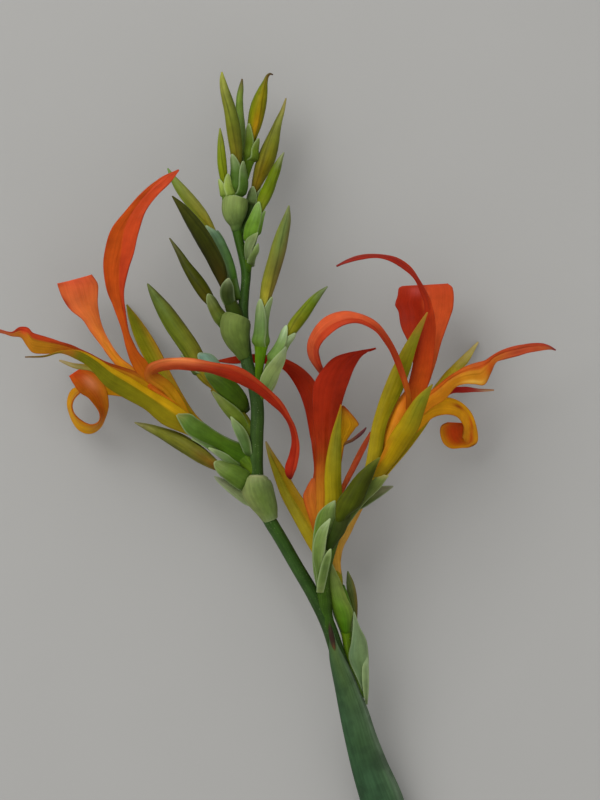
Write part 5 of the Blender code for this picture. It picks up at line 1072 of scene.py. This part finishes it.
rightPetals = {
    "UprightPetal": {
        "colours": "847218 8a780e 806e06 786a06 726806 726c18 9a6828", "sides": "8a7a14 666608",
        "stations": [
            (360, 488, 16.8, 372, 484, 17, 0.2), (366, 463, 17.8, 380.5, 458, 18, 0.5),
            (371, 431, 17.8, 385.6, 428, 17.8, 0.6), (376, 412, 17.6, 393, 409, 17.6, 0.6),
            (382, 393, 17.6, 401.8, 391, 17.6, 0.6), (390, 373, 17.6, 410, 369, 17.6, 0.5),
            (402, 350, 18, 416, 348, 18, 0.3), (412, 333, 18.6, 421, 332, 18.6, 0.1),
            (426.3, 312.5, 19.6, 427.7, 312.5, 19.6, 0)]},
    "FrontPetal": {
        "colours": "806c10 947604 8c7406 787010 6c7016 78701c", "sides": "987a06 746408",
        "blushes": [("a0500c", 0.08, 0.2, 0.16, 0.12, 0.7)], "stations": [
            (363, 484, 17.2, 374, 486, 16.8, 0.2), (379, 459, 18.4, 394, 463, 18, 0.6),
            (389.4, 437, 19.3, 409, 442, 19.1, 0.9), (399, 422.4, 20.1, 418, 428, 19.9, 0.8),
            (408.4, 407, 20.9, 424, 410, 20.8, 0.5), (417, 396, 21.4, 428.6, 397, 21.4, 0.2),
            (431.6, 384, 22, 432.6, 385, 22, 0)]},
    "BackPetal": {
        "colours": "a88c10 a88a0e a48a0e a89420 b4a468", "sides": "9c860e 94901e", "stations": [
            (366, 486, 16, 378, 486, 16, 0), (378, 463, 13.9, 392, 469, 13.9, -0.4),
            (393, 441, 11.8, 409, 449, 11.8, -0.5), (410, 420, 9.2, 424, 429, 9.2, -0.4),
            (426, 398, 6.6, 438, 406, 6.6, -0.3), (440, 380, 4, 450, 388, 4, -0.3),
            (450, 368, 1, 461, 371, 1, -0.2), (461, 357.5, -2.6, 470, 360, -2.6, -0.1),
            (478.4, 341.4, -6.1, 479.6, 342.6, -6.1, 0)]},
}
rightBlades = {
    "WhipBlade": {
        "colours": "a8580c a8440c a4380c a03010 9a2a10 942412 8c2014 841c16 822218 7c2620 6c2828",
        "sides": "942610 a83812", "stations": [
            (400, 424, 15.8, 412, 422, 15.8, 0.2), (406, 394, 15.6, 426, 390, 15.4, 0.2),
            (411, 372, 15.8, 432, 368, 15.4, 0.2), (416, 350, 16.2, 434.4, 346, 15.8, 0.2),
            (421, 326, 17.1, 435.2, 324, 16.5, 0.2), (424.6, 306, 18.2, 431.6, 307, 17.2, 0.1),
            (420.6, 293, 19.2, 426, 291.4, 17.6, 0.1), (413.6, 280.5, 20.2, 418, 277.6, 18, 0.1),
            (404.6, 270.2, 20.8, 408, 266.2, 18.6, 0.1), (393, 262.2, 21.3, 394.6, 257.4, 19.2, 0.1),
            (378, 258.6, 21.6, 380, 254.7, 19.8, 0.1), (360, 259.6, 21.7, 361, 256.3, 20.2, 0.1),
            (347, 263, 21.4, 347, 260.4, 20.4, 0.1), (336.5, 267, 21, 336.3, 266.2, 20.8, 0)]},
    "HookedBlade": {
        "colours": "a86408 9a4a06 842a0c 8c2812 b44622 b84c28 b64828 ae3a20 8e2820",
        "sides": "a8341a c4542e", "fold": (0.25, 0.45), "blushes": [
            ("7e260e", 0.5, 0.27, 0.8, 0.12, 0.8), ("8a2a0e", 0.5, 0.18, 0.8, 0.1, 0.7),
            ("9c5208", 0.5, 0.07, 0.8, 0.07, 0.8)],
        "stations": [
            (404.5, 418, 16, 410, 416.4, 16, 0.1), (405.6, 398, 18.4, 410.8, 396.6, 18.4, 0.1),
            (399.2, 374.4, 20.2, 404.6, 372.4, 20.2, 0.2), (390.6, 353.6, 21.8, 396.2, 351.4, 21.8, 0.2),
            (380, 337.2, 23.2, 386.2, 333.8, 22.8, 0.2), (370, 327.6, 24.1, 375.4, 322.4, 23.2, 0.3),
            (358, 323.6, 24.7, 359.6, 313.8, 23.3, 0.3), (346, 325.4, 24.7, 344, 311.5, 22.9, 0.4),
            (334, 331, 23.9, 327, 317, 21.7, 0.4), (324, 340, 22.2, 314.5, 328, 19.8, 0.4),
            (319, 350, 19.6, 308.5, 341, 17.2, 0.3), (319.5, 360, 16.7, 309.5, 356, 14.5, 0.2),
            (323, 368, 13.7, 316, 369, 12.3, 0.1), (328, 377, 11.4, 325, 379, 11, 0)]},
    "BroadBlade": {
        "colours": "b0800c b46014 ac4412 a83810 aa3210 ac3418 a83820", "sides": "861604 ba4a20",
        "fold": (0.5, 0.47),
        # the pink blush near the tip is a painted highlight
        "blushes": [("b44840", 0.34, 0.85, 0.12, 0.07, 0.7), ("b85020", 0.2, 0.16, 0.6, 0.16, 0.8)],
        "stations": [
            (403, 414, 15.4, 416, 411, 15.2, 0.1), (409, 388, 14, 427.5, 387, 13.8, 0.2),
            (413, 366, 12.8, 434.8, 366, 12.4, 0.3), (409, 345, 11.4, 440.6, 345, 11, 0.3),
            (401.4, 327, 10, 447.3, 326, 9.6, 0.3), (398.6, 312, 8.8, 452.4, 311, 8.4, 0.3),
            (395.2, 305, 8.3, 453.6, 304, 7.9, 0.3), (397.6, 296, 7.8, 454, 295.5, 7.4, 0.2),
            (398.8, 288.5, 7.5, 452.6, 287.4, 7.1, 0.1), (402.5, 286, 7.4, 448, 283.6, 7, 0)]},
    "TailedBlade": {
        "colours": "ae6c0c b4680a b0660a b06c0c b87c14 b06610 a44c10 a84418 a03c20 98342a 7c3034 4a2c30",
        # the first blush, pale gold, is a painted highlight
        "sides": "ac4016 b07014", "fold": (0.22, 0.4), "blushes": [
            ("e0b450", 0.85, 0.36, 0.1, 0.08, 0.6), ("b0480c", 0.75, 0.52, 0.5, 0.04, 0.85),
            ("9c3c24", 0.7, 0.75, 0.9, 0.19, 0.95), ("5a2c34", 0.5, 0.99, 0.9, 0.05, 0.8)],
        "stations": [
            (402, 414, 15.8, 412, 426, 15.6, 0.1), (420, 399, 15.8, 430, 409, 15.6, 0.1),
            (434, 388, 16.1, 445, 399, 15.9, 0.2), (447, 377.5, 16.5, 455, 387.5, 16.2, 0.3),
            (458, 370.4, 17, 464, 384, 16.6, 0.4), (468, 365.6, 17.3, 474, 384, 16.9, 0.5),
            (477.5, 362.5, 17.5, 484, 384.6, 17.1, 0.4), (485, 360, 17.8, 490, 373.5, 17.5, 0.3),
            (493, 354.8, 18.1, 495.4, 363, 17.9, 0.1), (503, 349.5, 18.2, 505, 359, 18.2, 0),
            (515, 346, 18.3, 517, 356, 18.3, 0), (528, 343.8, 18.4, 530, 352.5, 18.4, 0),
            (541, 343.6, 18.4, 542, 350.6, 18.4, 0), (549.5, 346, 18.3, 549.5, 349.6, 18.3, 0),
            (555.4, 349.6, 18.2, 555.2, 350.8, 18.2, 0)]},
    "LowerBlade": {
        "colours": "8e4d0a 8e1a0e 8c1412 983028 a07868", "sides": "841410 8a2010",
        "blushes": [("a88860", 0.5, 0.97, 0.9, 0.14, 0.95)], "stations": [
            (410, 414, 15.2, 418, 422, 15, 0), (432, 397, 14.1, 438, 403, 13.9, 0),
            (449, 388.5, 13.5, 451, 394, 13.3, 0.1), (463, 386.8, 12.9, 464, 392.4, 12.7, 0.1),
            (478, 388.6, 12.3, 479, 391.8, 12.1, 0), (494, 389.4, 11.8, 494, 390.8, 11.8, 0)]},
    "CurledLip": {
        "colours": "946c06 b07808 c0860c c88a0e c8840e c07410 b05808 a83808 a83408 b04414",
        # the last blush, dark brown at the outer edge of the curl, is painted shade in the fold
        "sides": "cc9006 b47408", "blushes": [
            ("c0800e", 0.02, 0.825, 0.16, 0.14, 0.9), ("c8440a", 0.75, 0.86, 0.4, 0.115, 0.9),
            ("8a3008", 0.35, 0.36, 0.12, 0.03, 0.9), ("b04008", 0.35, 0.46, 0.1, 0.04, 0.8),
            ("b03c0c", 0.45, 0.545, 0.12, 0.055, 0.8), ("5a2410", 0.02, 0.6, 0.14, 0.032, 0.9)],
        "stations": [
            (376, 463, 15.2, 384.6, 474, 15, 0.2), (388, 445, 15.4, 397, 458.6, 15.2, 0.2),
            (400, 428, 15.6, 408, 442, 15.6, 0.2), (415, 410, 15.4, 422, 427, 15.2, 0.4),
            (430, 399.5, 14.6, 434, 417, 14.2, 0.5), (447, 397.4, 13, 448, 414.6, 12.4, 0.4),
            (462, 403, 10.4, 458.5, 418, 10.2, 0.3), (472.5, 415, 7.2, 463, 425, 7.6, 0.2),
            (477.6, 430, 4.2, 463, 432, 5.2, 0.1), (478, 442, 1.6, 463, 437, 3.8, 0),
            (471, 446.6, 0.7, 464, 438.5, 3, 0), (462, 447.4, 0.4, 465, 437, 2.4, 0),
            (451.5, 448, 0.4, 466, 435, 2.1, 0), (444, 443, 0.8, 466, 432, 2.2, 0),
            (440.6, 434, 1.8, 466, 429, 2.5, 0), (441.4, 426.6, 3, 466, 426, 3, 0),
            (448, 422.8, 4.2, 466, 423.6, 3.6, 0)]},
}
flowers = {
    "left_flower": {
        "tube": [(225, 447.3, 13.1, 4.6), (212, 441, 12.8, 6.6), (201, 434, 12.6, 7.2)], "core": [
            (193, 427, 12.3, 3.8), (182, 417, 12.3, 5.4), (170, 405, 12.4, 5.8), (158, 393, 12.5, 5.6),
            (149, 384, 12.6, 4)],
        "petals": leftPetals, "blades": leftBlades},
    "centre_flower": {
        "tube": [(338.5, 594, 9.4, 4.6), (337, 580, 9.5, 5.8), (333.5, 564, 9.7, 6.8)], "core": [
            (331, 556, 9.9, 3.8), (327.5, 542, 9.9, 5.2), (324.5, 525, 10, 5.6), (323, 508, 10.2, 4.6)],
        "petals": centrePetals, "blades": centreBlades},
    "right_flower": {
        "tube": [(350, 513, 15.2, 4), (361, 494, 16.4, 5.8), (371, 475.5, 16.8, 7.2)], "core": [
            (377, 466, 16, 3.6), (384.6, 450, 15.8, 7.4), (393.6, 431, 15.6, 9.6), (400.8, 412, 15.6, 9.4),
            (405, 400, 15.4, 6.6), (406.6, 392, 15, 2.6)],
        "petals": rightPetals, "blades": rightBlades},
}
petalFinish = {"rowsPerStation": 10, "columns": 20, "thickness": 0.35, "wave": 0.2, "waveLength": 14.0,
               "ribs": 5, "ribDepth": 0.03, "foldDepth": 0.3, "sink": 0}
bladeFinish = {"rowsPerStation": 10, "columns": 28, "thickness": 0.3, "wave": 0.3, "waveLength": 11.0,
               "ribs": 7, "ribDepth": 0.02, "foldDepth": 0.25, "sink": 0}
tubePaint = {"colours": "5b6a28 7a7a18 8a7a10", "sides": "7a7a18 6a6410"}
corePaint = {"colours": "a07410 c07c14 c87018 b85014", "sides": "cc8014 b86010"}
for index, (node, flower) in enumerate(flowers.items()):
    name = camelName(node)
    seed = 60 + 10 * index
    onPetals = (node + "_petals", "petal_green_yellow")
    onBlades = (node + "_staminodes", "staminode_orange_red")
    tube = {**tubePaint, "stations": flower["tube"]}
    addRound(name + "Tube", tube, fineness["tube"], seed, onPetals, satinPetal)
    core = {**corePaint, "stations": flower["core"]}
    addRound(name + "Core", core, fineness["core"], seed + 1, onBlades, silkyBlade)
    for count, (leafName, leaf) in enumerate(flower["petals"].items()):
        addLeaf(name + leafName, leaf, petalFinish, seed + 2 + count, onPetals, satinPetal)
    for count, (leafName, leaf) in enumerate(flower["blades"].items()):
        addLeaf(name + leafName, leaf, bladeFinish, seed + 5 + count, onBlades, silkyBlade)
print("flowers done")

# Floor: smooth pale matt board, with only a faint mottle.
floor = {"colour": "9e9d9a", "size": 3.0, "mottle": 0.02, "mottleSize": 30.0, "roughness": 0.8}


def makeFloor():
    material = bpy.data.materials.new("pale matt board")
    material.use_nodes = True
    tree = material.node_tree
    shader = tree.nodes["Principled BSDF"]
    coords = addNode(tree, "ShaderNodeTexCoord")
    mottle = addNode(tree, "ShaderNodeTexNoise", {"Scale": 1 / (floor["mottleSize"] * mm)},
                     {"Vector": coords.outputs["Object"]})
    base = toLinear(floor["colour"])
    ramp = addNode(tree, "ShaderNodeValToRGB", links={"Fac": mottle.outputs["Fac"]})
    ramp.color_ramp.elements[0].color = (*(base[:3] * (1 - floor["mottle"])), 1)
    ramp.color_ramp.elements[1].color = (*(base[:3] * (1 + floor["mottle"])), 1)
    tree.links.new(ramp.outputs["Color"], shader.inputs["Base Color"])
    shader.inputs["Roughness"].default_value = floor["roughness"]
    bm = bmesh.new()
    bmesh.ops.create_grid(bm, x_segments=1, y_segments=1, size=floor["size"] / 2)
    mesh = bpy.data.meshes.new("floor")
    bm.to_mesh(mesh)
    bm.free()
    mesh.materials.append(material)
    table = bpy.data.objects.new("floor", mesh)
    bpy.context.scene.collection.objects.link(table)


makeFloor()

# Light: an even pale surround and one big soft box from the upper left.
light = {"surround": 0.74, "boxPower": 9.6, "boxSize": 0.9, "boxAt": (-0.55, 0.65, 0.95)}


def makeLight():
    scene = bpy.context.scene
    world = bpy.data.worlds.new("even surround")
    world.use_nodes = True
    background = world.node_tree.nodes["Background"]
    background.inputs["Color"].default_value = (1.0, 1.0, 1.0, 1.0)
    background.inputs["Strength"].default_value = light["surround"]
    scene.world = world
    lamp = bpy.data.lights.new("soft box", "AREA")
    lamp.energy = light["boxPower"]
    lamp.size = light["boxSize"]
    box = bpy.data.objects.new("soft box", lamp)
    box.location = light["boxAt"]
    box.rotation_euler = (-Vector(light["boxAt"])).to_track_quat("-Z", "Y").to_euler()
    scene.collection.objects.link(box)
    scene.view_settings.view_transform = "Standard"


makeLight()

# Camera: looks straight down on the middle of the plan.
view = {"across": 300, "down": 400, "tall": 800, "subjectHeight": 18.0, "distance": 3.0, "sensor": 36.0,
        "farEnd": 10.0}


def makeCamera():
    data = bpy.data.cameras.new("camera")
    data.sensor_fit = "VERTICAL"
    data.sensor_height = view["sensor"]
    distance = view["distance"] - view["subjectHeight"] * mm
    data.lens = view["sensor"] * distance / (view["tall"] * square)
    data.clip_end = view["farEnd"]
    camera = bpy.data.objects.new("camera", data)
    middle = place(view["across"], view["down"], 0)
    camera.location = (middle.x, middle.y, view["distance"])
    bpy.context.scene.collection.objects.link(camera)
    bpy.context.scene.camera = camera


makeCamera()
print("stage ready")
